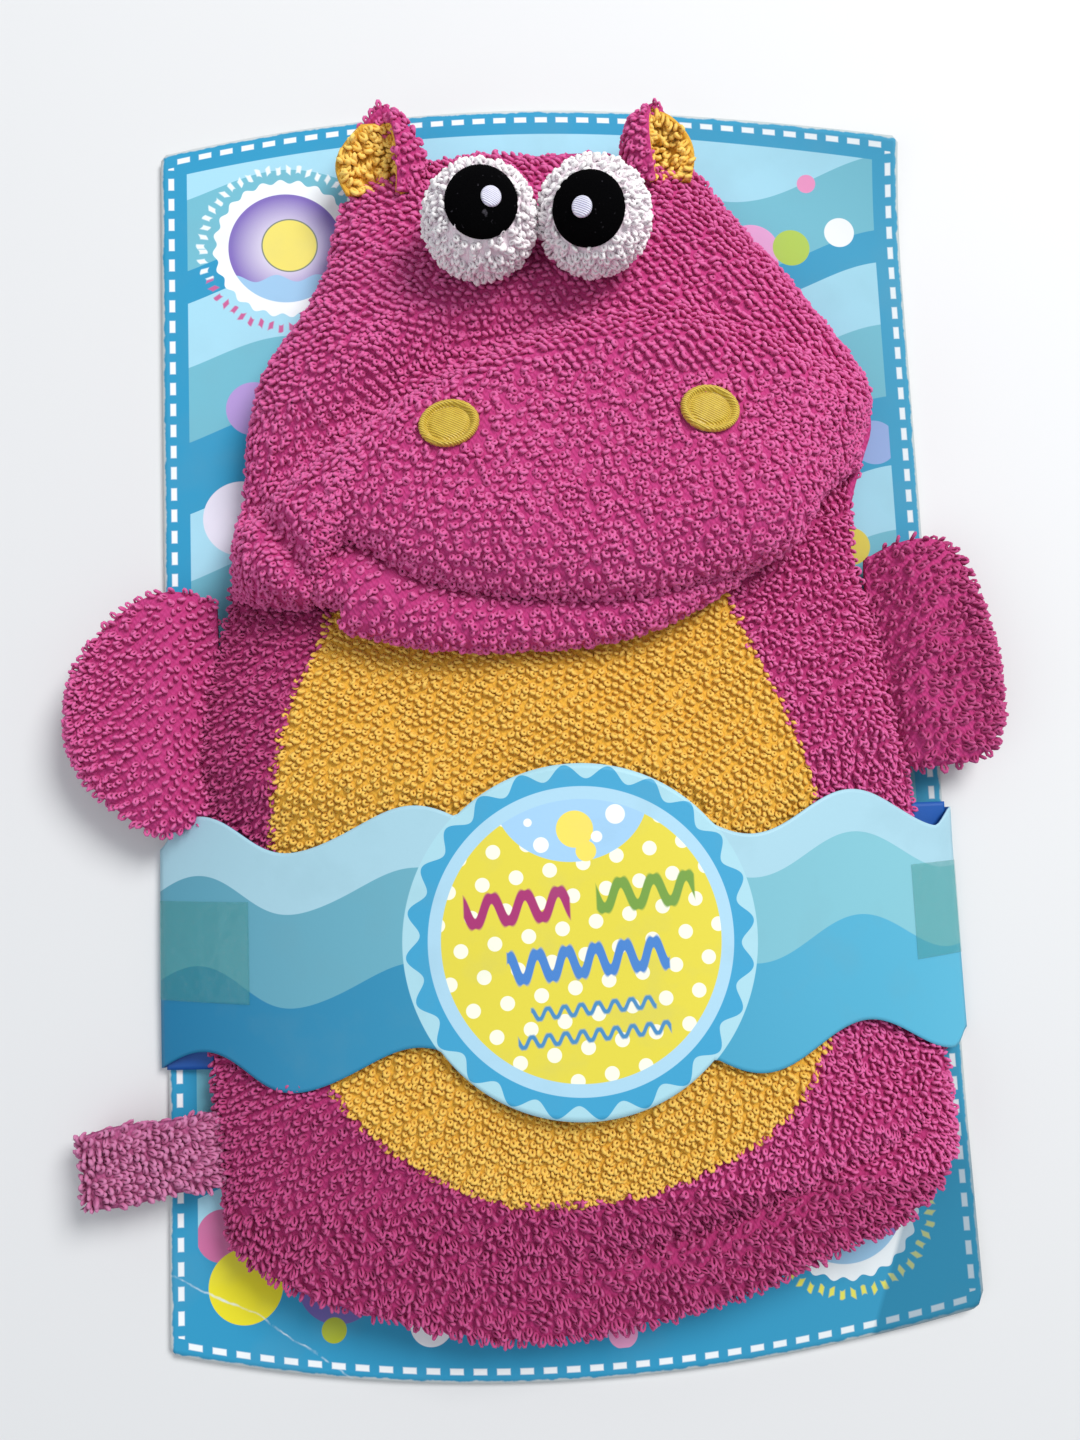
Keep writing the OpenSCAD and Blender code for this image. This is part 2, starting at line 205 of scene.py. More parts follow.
def blob(name, rings, material):
    """A closed skin through rings of points, with its two ends drawn together."""
    rows, cols = rings.shape[:2]
    points = np.concatenate([rings.reshape(-1, 3), rings[:1].mean(1), rings[-1:].mean(1)])
    faces = grid_faces(rows, cols, closed=True)
    c = np.arange(cols)
    d = (c + 1) % cols
    last = (rows - 1) * cols
    start = np.stack([np.full(cols, rows * cols), d, c, c], -1)
    end = np.stack([np.full(cols, rows * cols + 1), last + c, last + d, last + d], -1)
    made = make_mesh(name, points, faces, material)
    tri = np.concatenate([start[:, :3], end[:, :3]])
    me = made.data
    first = len(me.loops)
    polys = len(me.polygons)
    me.loops.add(tri.size)
    me.polygons.add(len(tri))
    me.loops.foreach_set(
        "vertex_index", np.concatenate([faces.ravel(), tri.ravel()]).astype(np.int32)
    )
    me.polygons.foreach_set(
        "loop_start",
        np.concatenate([np.arange(polys) * 4, first + np.arange(len(tri)) * 3]).astype(np.int32),
    )
    me.polygons.foreach_set("use_smooth", np.ones(len(me.polygons), bool))
    me.update(calc_edges=True)
    me.validate()
    return made


# ---- towelling ----


def yarn_loop(half_w, half_h, strand, segments, sides=4):
    """One closed loop of yarn standing in its own x-z plane: points, quads, height from 0 to 1."""
    t = np.arange(segments) / segments * TAU
    s = np.arange(sides) / sides * TAU
    t, s = np.meshgrid(t, s, indexing="ij")
    x = (half_w + strand * np.cos(s)) * np.sin(t)
    z = half_h - (half_h + strand * np.cos(s)) * np.cos(t)
    y = strand * np.sin(s)
    points = np.stack([x, y, z], -1).reshape(-1, 3)
    faces = grid_faces(segments + 1, sides, closed=True) % (segments * sides)
    tip = (points[:, 2] + strand) / (2 * half_h + 2 * strand)
    return points, faces, tip


def rows_on(grid, pitch, row_gap, turn, jitter, rng):
    """Places in staggered rows, spaced by length along the surface: fractional row and column of each."""
    step = np.linalg.norm(np.diff(grid, axis=1), axis=-1)
    along = np.concatenate([np.zeros((len(grid), 1)), np.cumsum(step, 1)], 1)
    middle = grid.shape[1] // 2
    along -= along[:, middle : middle + 1]
    rise = np.linalg.norm(np.diff(grid, axis=0), axis=-1).mean(1)
    up = np.concatenate([[0], np.cumsum(rise)])
    reach = max(abs(along).max(), up[-1]) * 1.5
    count = int(reach / min(pitch, row_gap)) + 2
    a, b = np.meshgrid(np.arange(-count, count), np.arange(-count, count))
    s = (a + 0.5 * (b % 2)) * pitch
    t = b * row_gap
    c, d = math.cos(math.radians(turn)), math.sin(math.radians(turn))
    s, t = (s * c - t * d).ravel(), (s * d + t * c).ravel() + up[-1] / 2
    s = s + rng.normal(0, pitch * jitter, s.shape)
    t = t + rng.normal(0, row_gap * jitter, t.shape)
    ok = (t > 0) & (t < up[-1])
    s, t = s[ok], t[ok]
    row = np.interp(t, up, np.arange(len(up)))
    low = np.clip(row.astype(int), 0, len(up) - 2)
    share = (row - low)[:, None]
    lines = along[low] * (1 - share) + along[low + 1] * share
    col = np.array([np.interp(x, line, np.arange(len(line)), -1, -1) for x, line in zip(s, lines)])
    ok = (col > 0) & (col < grid.shape[1] - 1)
    return row[ok], col[ok]


def sample(grid, row, col):
    """The grid's value at fractional rows and columns."""
    r = np.clip(row.astype(int), 0, grid.shape[0] - 2)
    c = np.clip(col.astype(int), 0, grid.shape[1] - 2)
    fr = (row - r)[:, None]
    fc = (col - c)[:, None]
    return (
        grid[r, c] * (1 - fr) * (1 - fc)
        + grid[r + 1, c] * fr * (1 - fc)
        + grid[r, c + 1] * (1 - fr) * fc
        + grid[r + 1, c + 1] * fr * fc
    )


def towelling(name, grid, material, style, seed, keep=None, turn=30):
    """Yarn loops all over a grid. keep says, from its place, which loops there are."""
    rng = np.random.default_rng(seed)
    row, col = rows_on(grid, style["pitch"], style["rows"], turn, style["jitter"], rng)
    place = sample(grid, row, col)
    normal = sample(normals(grid), row, col)
    if keep is not None:
        ok = keep(place, normal)
        place, normal = place[ok], normal[ok]
    normal /= np.linalg.norm(normal, axis=1, keepdims=True)
    return loops_at(name, place, normal, material, style, rng)


def loops_at(name, place, normal, material, style, rng):
    """Yarn loops at the given places, each leaning over and turned by its own amount."""
    points, faces, tip = yarn_loop(
        style["half_w"], style["half_h"], style["strand"], style["segments"]
    )
    n = len(place)
    lean = np.radians(rng.normal(style["lean"], style["lean_spread"], n)).clip(0, 1.45)
    heading = np.radians(style["heading"] + rng.normal(0, style["heading_spread"], n))
    spin = np.radians(rng.normal(0, 14, n))
    size = rng.uniform(1 - style["uneven"], 1 + style["uneven"], n)
    stretch = rng.uniform(0.88, 1.12, n)
    ref = np.tile([1.0, 0.0, 0.0], (n, 1))
    steep = abs(normal[:, 0]) > 0.9
    ref[steep] = [0.0, 1.0, 0.0]
    side = np.cross(np.cross(normal, ref), normal)
    side /= np.linalg.norm(side, axis=1, keepdims=True)
    front = np.cross(normal, side)
    p = points[None] * size[:, None, None]
    x, y, z = p[..., 0] * stretch[:, None], p[..., 1], p[..., 2]
    c, s = np.cos(spin)[:, None], np.sin(spin)[:, None]
    x, z = x * c - (z - style["half_h"]) * s, x * s + (z - style["half_h"]) * c + style["half_h"]
    c, s = np.cos(lean)[:, None], np.sin(lean)[:, None]
    y, z = y * c - z * s, y * s + z * c
    c, s = np.cos(heading)[:, None], np.sin(heading)[:, None]
    x, y = x * c - y * s, x * s + y * c
    z = z - style["sink"]
    world = (
        place[:, None]
        + x[..., None] * side[:, None]
        + y[..., None] * front[:, None]
        + z[..., None] * normal[:, None]
    )
    count = len(points)
    quads = (faces[None] + (np.arange(n) * count)[:, None, None]).reshape(-1, 4)
    attributes = {
        "tip": np.clip(np.tile(tip, n), 0, 1),
        "tone": np.repeat(rng.uniform(0, 1, n), count),
    }
    return make_mesh(name, world.reshape(-1, 3), quads, material, attributes)


def style(**changes):
    """How the yarn loops stand: sizes in millimetres, angles in degrees."""
    base = dict(
        pitch=1.82, rows=1.85, half_w=0.55, half_h=0.62, strand=0.33, lean=58, lean_spread=15,
        heading=20, heading_spread=80, uneven=0.14, sink=0.1, segments=7, jitter=0.12,
    )
    base.update(changes)
    return base


PINK_LOOPS = style(
    pitch=1.5, rows=1.8, half_w=0.5, half_h=0.6, strand=0.39, lean=43, lean_spread=14,
    heading=-25, heading_spread=34, uneven=0.16, jitter=0.08,
)
LIP_LOOPS = style(
    pitch=1.5, rows=1.5, half_w=0.52, half_h=0.58, strand=0.36, lean=52, heading_spread=60, jitter=0.1,
)
SIDE_LOOPS = style(
    pitch=1.4, rows=1.6, half_w=0.44, half_h=0.72, strand=0.32, lean=32, lean_spread=16,
    heading=-20, heading_spread=45, jitter=0.1,
)
HEM_LOOPS = style(
    pitch=1.35, rows=1.45, half_w=0.44, half_h=0.9, strand=0.31, lean=36, lean_spread=18,
    heading=70, heading_spread=50, jitter=0.12,
)
BELLY_LOOPS = style(
    pitch=1.5, rows=1.6, half_w=0.45, half_h=0.58, strand=0.36, lean=44, lean_spread=12,
    heading=-28, heading_spread=34, jitter=0.09,
)
EYE_LOOPS = style(pitch=1.35, rows=1.4, half_w=0.42, half_h=0.66, strand=0.38, lean=42, heading_spread=60)
LONG_LOOPS = style(
    pitch=1.35, rows=1.4, half_w=0.4, half_h=0.95, strand=0.4, lean=48, lean_spread=10,
    heading=100, heading_spread=22, jitter=0.08,
)
ARM_LOOPS = style(
    pitch=1.6, rows=1.6, half_w=0.46, half_h=0.85, strand=0.35, lean=42, lean_spread=15,
    heading=50, heading_spread=40,
)
EAR_LOOPS = style(pitch=1.45, rows=1.45, half_w=0.48, half_h=1.0, strand=0.48, lean=38, heading_spread=60)
PLAIN_LOOPS = style(pitch=2.5, rows=2.4, half_w=0.62, half_h=0.5, strand=0.32, lean=60, segments=6)

# ---- materials ----


def new_material(name):
    made = bpy.data.materials.new(name)
    made.use_nodes = True
    tree = made.node_tree
    return made, tree, tree.nodes["Principled BSDF"]


def node(tree, kind, **values):
    """A node with its settings, or its inputs' values, given by name."""
    made = tree.nodes.new(kind)
    for key, value in values.items():
        if key in made.inputs:
            made.inputs[key].default_value = value
        else:
            setattr(made, key, value)
    return made


def object_place(tree):
    return node(tree, "ShaderNodeTexCoord").outputs["Object"]


def rgb(r, g, b):
    """A colour as seen on a screen, from 0 to 255, as the linear colour that nodes use."""
    s = np.array([r, g, b]) / 255
    linear = np.where(s <= 0.04045, s / 12.92, ((s + 0.055) / 1.055) ** 2.4)
    return (*[float(v) for v in linear], 1.0)


class Term:
    """A number worked out by Math nodes."""

    def __init__(self, tree, source):
        self.tree = tree
        self.source = source

    def do(self, operation, *others):
        made = node(self.tree, "ShaderNodeMath", operation=operation)
        for slot, value in zip(made.inputs, (self, *others)):
            if isinstance(value, Term):
                self.tree.links.new(value.source, slot)
            else:
                slot.default_value = value
        return Term(self.tree, made.outputs[0])

    def __add__(self, other):
        return self.do("ADD", other)

    def __sub__(self, other):
        return self.do("SUBTRACT", other)

    def __mul__(self, other):
        return self.do("MULTIPLY", other)

    def __truediv__(self, other):
        return self.do("DIVIDE", other)

    def __neg__(self):
        return self.do("MULTIPLY", -1.0)

    def sin(self):
        return self.do("SINE")

    def abs(self):
        return self.do("ABSOLUTE")

    def root(self):
        return self.do("SQRT")

    def least(self, other):
        return self.do("MINIMUM", other)

    def most(self, other):
        return self.do("MAXIMUM", other)

    def clamp(self):
        return self.most(0.0).least(1.0)

    def fraction(self):
        return self.do("FRACT")

    def inside(self, soft=0.12):
        """1 where the number is below 0, with an edge soft millimetres wide."""
        made = node(self.tree, "ShaderNodeMapRange", **{"From Min": soft / 2, "From Max": -soft / 2})
        self.tree.links.new(self.source, made.inputs["Value"])
        return Term(self.tree, made.outputs[0])


def over(tree, mask, ink, ground):
    """Ink over ground where mask is 1. Ink and ground are colours or sockets."""
    made = node(tree, "ShaderNodeMix", data_type="RGBA")
    if isinstance(mask, Term):
        tree.links.new(mask.source, made.inputs[0])
    else:
        made.inputs[0].default_value = mask
    for slot, value in ((6, ground), (7, ink)):
        if isinstance(value, bpy.types.NodeSocket):
            tree.links.new(value, made.inputs[slot])
        else:
            made.inputs[slot].default_value = value
    return made.outputs[2]


def finish_look(tree, shader, colour, relief, strength, distance, **settings):
    """Joins up colour and relief, and sets other inputs, with _ for each space in their names."""
    tree.links.new(colour, shader.inputs["Base Color"])
    for key, value in settings.items():
        shader.inputs[key.replace("_", " ")].default_value = value
    raised = node(tree, "ShaderNodeBump", Strength=strength, Distance=distance)
    tree.links.new(relief.source, raised.inputs["Height"])
    tree.links.new(raised.outputs[0], shader.inputs["Normal"])


def far_from(x, y, px=0.0, py=0.0):
    """Distance from a point, as a Term."""
    dx, dy = x - px, y - py
    return (dx * dx + dy * dy).root()


def plane_terms(tree, source):
    """The x and y of a texture coordinate given in metres or print units, as millimetres."""
    split = node(tree, "ShaderNodeSeparateXYZ")
    tree.links.new(source, split.inputs[0])
    return Term(tree, split.outputs[0]) / MM, Term(tree, split.outputs[1]) / MM


def noise(tree, source, scale, detail):
    made = node(tree, "ShaderNodeTexNoise", Scale=scale, Detail=detail)
    tree.links.new(source, made.inputs["Vector"])
    return made.outputs["Fac"]


def towelling_material(name, deep, middle, light, sheen_tint):
    """Cotton yarn: darker at each loop's foot and lighter at its top, a painted shade of the gaps between
    loops; uneven from loop to loop and in patches.
    """
    made, tree, shader = new_material(name)
    place = object_place(tree)
    tip = Term(tree, node(tree, "ShaderNodeAttribute", attribute_name="tip").outputs["Fac"])
    tone = Term(tree, node(tree, "ShaderNodeAttribute", attribute_name="tone").outputs["Fac"])
    patch = Term(tree, noise(tree, place, 45.0, 3.0))
    fibre = Term(tree, noise(tree, place, 2600.0, 2.0))
    # painted light on the loop tops, mixed with tone that differs from loop to loop and in patches
    top_light_and_tone = (tip * 0.75 + tone * 0.3 + patch * 0.5 + fibre * 0.25 - 0.55).clamp()
    # painted shade at each loop's foot
    body = over(tree, (tip * 1.6).least(1.0), middle, deep)
    colour = over(tree, top_light_and_tone, light, body)
    finish_look(
        tree, shader, colour, fibre, 0.5, 0.0001, Roughness=0.92, Specular_IOR_Level=0.25,
        Sheen_Weight=0.35, Sheen_Roughness=0.45, Sheen_Tint=sheen_tint,
    )
    return made


def cloth_material(name, dark, light):
    """The knitted ground that the loops stand on: small stitches between them."""
    made, tree, shader = new_material(name)
    place = object_place(tree)
    x, y = plane_terms(tree, place)
    stitch = (x * 5.2).sin() * (y * 4.4 + (x * 5.2).sin() * 0.6).sin() * 0.5 + 0.5
    grain = Term(tree, noise(tree, place, 1500.0, 3.0))
    colour = over(tree, (stitch * 0.6 + grain * 0.5).least(1.0), light, dark)
    finish_look(tree, shader, colour, stitch, 0.6, 0.0003, Roughness=0.95, Specular_IOR_Level=0.2)
    return made


# each yarn: foot of the loop, middle, top, sheen; the darker foot and lighter top are painted shade and light
YARNS = (
    ("pink_loop", (182, 54, 118), (208, 82, 146), (222, 110, 168), (240, 150, 205)),
    # painted shade: a darker copy of the pink yarn for parts in shade, the mitt's left side, the hem and the
    # right arm
    ("shaded_loop", (166, 46, 106), (182, 64, 120), (194, 86, 140), (225, 140, 190)),
    ("strap_loop", (160, 70, 118), (192, 100, 148), (208, 136, 176), (230, 170, 205)),
    ("yellow_loop", (220, 168, 62), (232, 186, 80), (240, 200, 100), (255, 230, 160)),
    ("ear_loop", (232, 176, 66), (248, 204, 92), (255, 222, 124), (255, 230, 160)),
    # the pinkish foot of the white yarn is painted pink light reflected from the face round the eyes
    ("white_loop", (238, 222, 232), (244, 238, 242), (252, 250, 250), (255, 255, 255)),
)
# each ground: dark and light
GROUNDS = (
    ("pink_ground", (176, 50, 112), (196, 68, 134)),
    # painted shade: a darker copy of the pink ground for the front of the mitt's body
    ("shaded_ground", (162, 44, 102), (180, 58, 118)),
    ("strap_ground", (164, 74, 122), (188, 100, 146)),
    ("yellow_ground", (214, 160, 54), (230, 180, 70)),
    # pinkish: painted pink light reflected onto the white ground from the face
    ("white_ground", (236, 218, 230), (244, 236, 240)),
    ("mouth_ground", (120, 10, 60), (176, 34, 98)),
)


def dyed(make, colours):
    """One material for each row of a table of colours."""
    return [make(name, *[rgb(*ink) for ink in inks]) for name, *inks in colours]


pink_loop, shaded_loop, strap_loop, yellow_loop, ear_loop, white_loop = dyed(towelling_material, YARNS)
pink_ground, shaded_ground, strap_ground, yellow_ground, white_ground, mouth_ground = dyed(
    cloth_material, GROUNDS
)


def felt_material():
    made, tree, shader = new_material("black_felt")
    place = object_place(tree)
    fuzz = Term(tree, noise(tree, place, 3200.0, 4.0))
    lint = Term(tree, noise(tree, place, 900.0, 2.0))
    ground = over(tree, fuzz, rgb(8, 8, 9), rgb(2, 2, 3))
    flecks = (lint - 0.69).most(0.0) * 9.0
    colour = over(tree, flecks.least(1.0), rgb(70, 68, 74), ground)
    finish_look(tree, shader, colour, fuzz, 0.7, 0.0002, Roughness=0.97, Specular_IOR_Level=0.02)
    return made


def thread_material(name, dark, light, lines):
    """Satin stitching: glossy threads side by side; lines is how many there are in a millimetre."""
    made, tree, shader = new_material(name)
    place = object_place(tree)
    x, y = plane_terms(tree, place)
    thread = ((x * 0.5 + y) * (lines * TAU)).sin() * 0.5 + 0.5
    wear = Term(tree, noise(tree, place, 700.0, 3.0))
    colour = over(tree, (thread * 0.6 + wear * 0.6 - 0.1).clamp(), light, dark)
    finish_look(tree, shader, colour, thread, 0.8, 0.00015, Roughness=0.42, Sheen_Weight=0.15)
    return made


black_felt = felt_material()
nostril_thread = thread_material("nostril_thread", rgb(172, 132, 20), rgb(234, 206, 74), 2.2)
glint_thread = thread_material("glint_thread", rgb(196, 196, 236), rgb(250, 250, 255), 2.6)

# ---- card ----

BORDER_BLUE = rgb(44, 150, 194)
WAVE_PALE = rgb(164, 216, 236)
WAVE_MID = rgb(112, 184, 204)
INK_WHITE = rgb(240, 246, 250)
BOARD = rgb(226, 226, 220)
# the printed waves, the badges and the dashes, in millimetres
RIPPLE_LEN = 67
RIPPLE_AT = 46
RIPPLE_H = 4.6
BAND_TOP = 94.5
BAND_REPEAT = 47.3
STROKES_R = 18.4
STROKES_PER_RADIAN = 8.2
DASH_REPEAT = 4.7
DASH_IN = 2.2
CORNER_R = 1.6
LOW_RIGHT_R = 3.8
ARCH_HALF = card_half - 4.0
CARD_ARCH = 9.0
card_side_y = card_hi[1] - CARD_ARCH


def card_end_y(x):
    """Height of the arched end of the card, x from its middle."""
    return card_side_y + CARD_ARCH * (1 - (x / ARCH_HALF) ** 2)


def card_print():
    """Blue border with a row of white dashes round bands of waves, bubbles and two badges."""
    made, tree, shader = new_material("card_print")
    place = object_place(tree)
    x, y = plane_terms(tree, place)
    x = x - card_x
    side_gap = -x.abs() + card_half
    end_y = -(x * x) * (CARD_ARCH / ARCH_HALF**2) + card_side_y + CARD_ARCH
    end_gap = end_y - y.abs()
    gap = side_gap.least(end_gap)

    # bands of waves, which repeat down the card
    ripple = (x * (TAU / RIPPLE_LEN) - TAU * RIPPLE_AT / RIPPLE_LEN + math.pi / 2).sin() * RIPPLE_H
    line = y + ripple
    repeat = ((-line + BAND_TOP) / BAND_REPEAT).fraction()
    colour = over(tree, (repeat - 0.665).inside(0.004), WAVE_MID, BORDER_BLUE)
    colour = over(tree, (repeat - 0.31).inside(0.004), WAVE_PALE, colour)
    colour = over(tree, (-line + BAND_TOP).inside(), BORDER_BLUE, colour)
    colour = over(tree, (-line + 102.0).inside(), WAVE_MID, colour)
    colour = over(tree, (-line + 118.5).inside(), WAVE_PALE, colour)
    colour = over(tree, (line + 104.0).inside(), BORDER_BLUE, colour)

    bubbles = [
        (62, 117.8, 2.1, (236, 140, 190)), (68.9, 106.2, 3.4, (246, 248, 250)),
        (48.6, 102, 6.4, (232, 160, 212)), (57.7, 102.8, 4.2, (178, 204, 60)),
        (66.6, 33.6, 4.2, (226, 206, 50)), (-63, 68, 6.0, (176, 150, 212)),
        (-66, 43.6, 8.2, (226, 224, 240)), (-72, -104.5, 5.2, (204, 110, 160)),
        (-67.5, -114.5, 7.4, (232, 222, 40)), (-48.9, -114.5, 8.4, (110, 96, 172)),
        (-50.1, -123.9, 2.5, (178, 190, 40)), (-30.6, -124, 4.3, (240, 242, 248)),
        (73.5, 57, 5.0, (150, 170, 224)), (8, -128, 3.0, (236, 160, 204)),
    ]
    for px, py, r, ink in bubbles:
        colour = over(tree, (far_from(x, y, px, py) - r).inside(), rgb(*ink), colour)

    # scalloped white badges: a lilac disc that pales to its middle, pale blue below, one plain yellow bubble
    for px, py, inks in (
        (-55.4, 104.7, ((236, 246, 250), (198, 96, 150))), (54.9, -104.6, ((232, 226, 80), (232, 226, 80))),
    ):
        dx, dy = x - px, y - py
        far = (dx * dx + dy * dy).root()
        angle = dy.do("ARCTAN2", dx)
        scallop = (angle * 24.0).sin() * 0.45
        colour = over(tree, (far - scallop - 15.6).inside(), INK_WHITE, colour)
        fade = over(tree, ((far - 3.0) / 9.0).clamp(), rgb(128, 108, 186), rgb(232, 228, 242))
        fade = over(tree, (dy + 7.0 + (dx * 0.7).sin() * 0.8).inside(), rgb(156, 198, 232), fade)
        bubble = far_from(dx, dy, 0.8, 0.6)
        fade = over(tree, (bubble - 6.2).inside(), rgb(120, 132, 120), fade)
        fade = over(tree, (bubble - 5.9).inside(), rgb(236, 222, 112), fade)
        colour = over(tree, (far - 12.6).inside(), fade, colour)
        # short plain strokes round the badge
        beat = ((angle * STROKES_PER_RADIAN).fraction() - 0.5).abs() * (STROKES_R / STROKES_PER_RADIAN) - 0.5
        stroke = ((far - STROKES_R - (angle * 37.0).sin() * 0.4).abs() - 0.85).most(beat).inside(0.3)
        upper = (-dy + dx * 0.3 - 2.0).inside(0.5)
        colour = over(tree, stroke * upper, rgb(*inks[0]), colour)
        colour = over(tree, stroke * (dy - dx * 0.3 + 2.0).inside(0.5), rgb(*inks[1]), colour)

    colour = over(tree, (-gap + 5.6).inside(), colour, BORDER_BLUE)

    # dashes: their run follows the sides, and the two ends
    def dash(run, across):
        length = ((run / DASH_REPEAT).fraction() - 0.5).abs() * DASH_REPEAT - 1.35
        return length.most(across.abs() - 0.6).inside(0.25)

    on_side = dash(y, side_gap - DASH_IN) * (-end_gap + 3.4).inside()
    on_end = dash(x, end_gap - DASH_IN) * (-side_gap + 3.4).inside()
    colour = over(tree, on_side.most(on_end), INK_WHITE, colour)

    # rubbed ink: pale along the edge, and fine cracks at one corner
    rub = Term(tree, noise(tree, place, 420.0, 4.0))
    edge = (gap - rub * 1.1 + 0.12).inside(0.3)
    colour = over(tree, edge * 0.8, BOARD, colour)
    wobble = Term(tree, noise(tree, place, 160.0, 3.0)) * 7.0
    bent = x + 65.1
    along = y + 120.2 + bent * 0.594 + bent.abs() * 0.113 - 1.6 + wobble * 0.45
    crack = (along.abs() - 0.2).inside(0.3) * (x + 44.0).inside(3.0)
    colour = over(tree, crack * (rub * 2.4 - 0.75).clamp(), rgb(220, 236, 244), colour)
    soil = Term(tree, noise(tree, place, 60.0, 5.0))
    colour = over(tree, ((soil - 0.5) * 0.5).most(0.0), rgb(120, 150, 160), colour)

    # painted shade: the card is darker and greyer towards the right, where it bends away from the light
    colour = over(tree, ((x - 10.0) / 70.0).clamp() * 0.24, rgb(70, 132, 140), colour)

    # the corner beyond the fold is in shade
    shade = (-(x - 60.4) * 0.938 + (y + 128.0) * 0.346).inside(1.0) * (y + 92.0).inside(14.0)
    colour = over(tree, shade * 0.5, rgb(12, 100, 132), colour)

    # the board's raw edge and back are grey-white
    facing = node(tree, "ShaderNodeNewGeometry").outputs["Normal"]
    split = node(tree, "ShaderNodeSeparateXYZ")
    tree.links.new(facing, split.inputs[0])
    top = (-Term(tree, split.outputs[2]) + 0.5).inside(0.2)
    colour = over(tree, top, colour, BOARD)
    finish_look(tree, shader, colour, rub, 0.12, 0.0002, Roughness=0.68, Specular_IOR_Level=0.3)
    return made


def card_rise(x, y):
    """How the old card has warped: a slow bow, and one corner bent up along a crease."""
    bow = 0.25 * lumps(x, y, 120, 3)
    fold = (x - card_x) * 0.82 - y * 0.57 - 119.0
    lift = (x - card_x) * 0.6 + y * 0.8 - 124.0
    return np.maximum(bow, -0.3) + 0.05 * np.maximum(fold, 0) + 0.006 * np.maximum(lift, 0) ** 2


def make_card():
    """The board: a grid that fills the outline, with a thickness."""
    cols = 140
    rows = 200
    v = np.linspace(-1, 1, cols)
    u = np.linspace(-1, 1, rows)
    v, u = np.meshgrid(np.sign(v) * abs(v) ** 0.97, u)
    x = v * card_half
    radius = np.where((x > 0) & (u < 0), LOW_RIGHT_R, CORNER_R)
    past = np.maximum(abs(x) - (card_half - radius), 0)
    corner = np.sqrt(np.maximum(radius**2 - past**2, 0))
    flat_end = card_end_y(np.minimum(abs(x), card_half - radius))
    end = flat_end - radius + corner
    y = u * end
    top = np.stack([x + card_x, y, card_top_z + card_rise(x + card_x, y)], -1)
    made = cloth("backing_card_print", top, card_top_z - card_lo[2], card_print())
    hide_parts("backing_card")
    put_on(made, "mitt_on_card")


# ---- wrap ----

WRAP_FOLD = card_half + 0.7
WRAP_RISE = 20.2
WRAP_Y = -47.3
WRAP_W = 46.0
WRAP_T = 0.5
BADGE_R = 34.0
BADGE_X = 1.7
WAVE_LEN = 2 * card_half * 0.267
WAVE_H = 4.1
WAVE_AT = 14.0
FLAP = 22.0
# loops are left out this far in from the wrap's edges, where they can't be seen
HIDDEN_IN = 2.6


def wrap_inner(x):
    """Height of the wrap's inner face; x from the card's middle."""
    return 1.6 + WRAP_RISE * (1 - np.minimum(abs(x) / WRAP_FOLD, 1) ** 2.7)


def wrap_shift(x):
    """The wave runs a little ahead near the left end."""
    return x + 2.8 * bump(x, -55, 12)


def wrap_wave(x):
    x = wrap_shift(x)
    return WAVE_H * np.cos(TAU * (x - WAVE_AT) / WAVE_LEN)


def badge_edge(x):
    """Half height of the badge, x from the card's middle."""
    return np.sqrt(np.maximum(BADGE_R**2 - (x - BADGE_X) ** 2, 0))


def wrap_edges(x):
    """The wrap's lower and upper edge, from its middle; x from the card's middle."""
    badge = badge_edge(x)
    wave = wrap_wave(x)
    return np.minimum(-WRAP_W / 2 + wave, -badge), np.maximum(WRAP_W / 2 + wave, badge)


def wrap_curl(x, y):
    """How far the wrap bends up from its plain arch; y from its middle."""
    curl = 0.35 * lumps(x, y, 40, 5) + 0.5 * bump(x, -62, 9) * smooth((y - 12) / 12)
    return curl + 1.2 * smooth((x - 66) / 10) * smooth((y - 14) / 9)


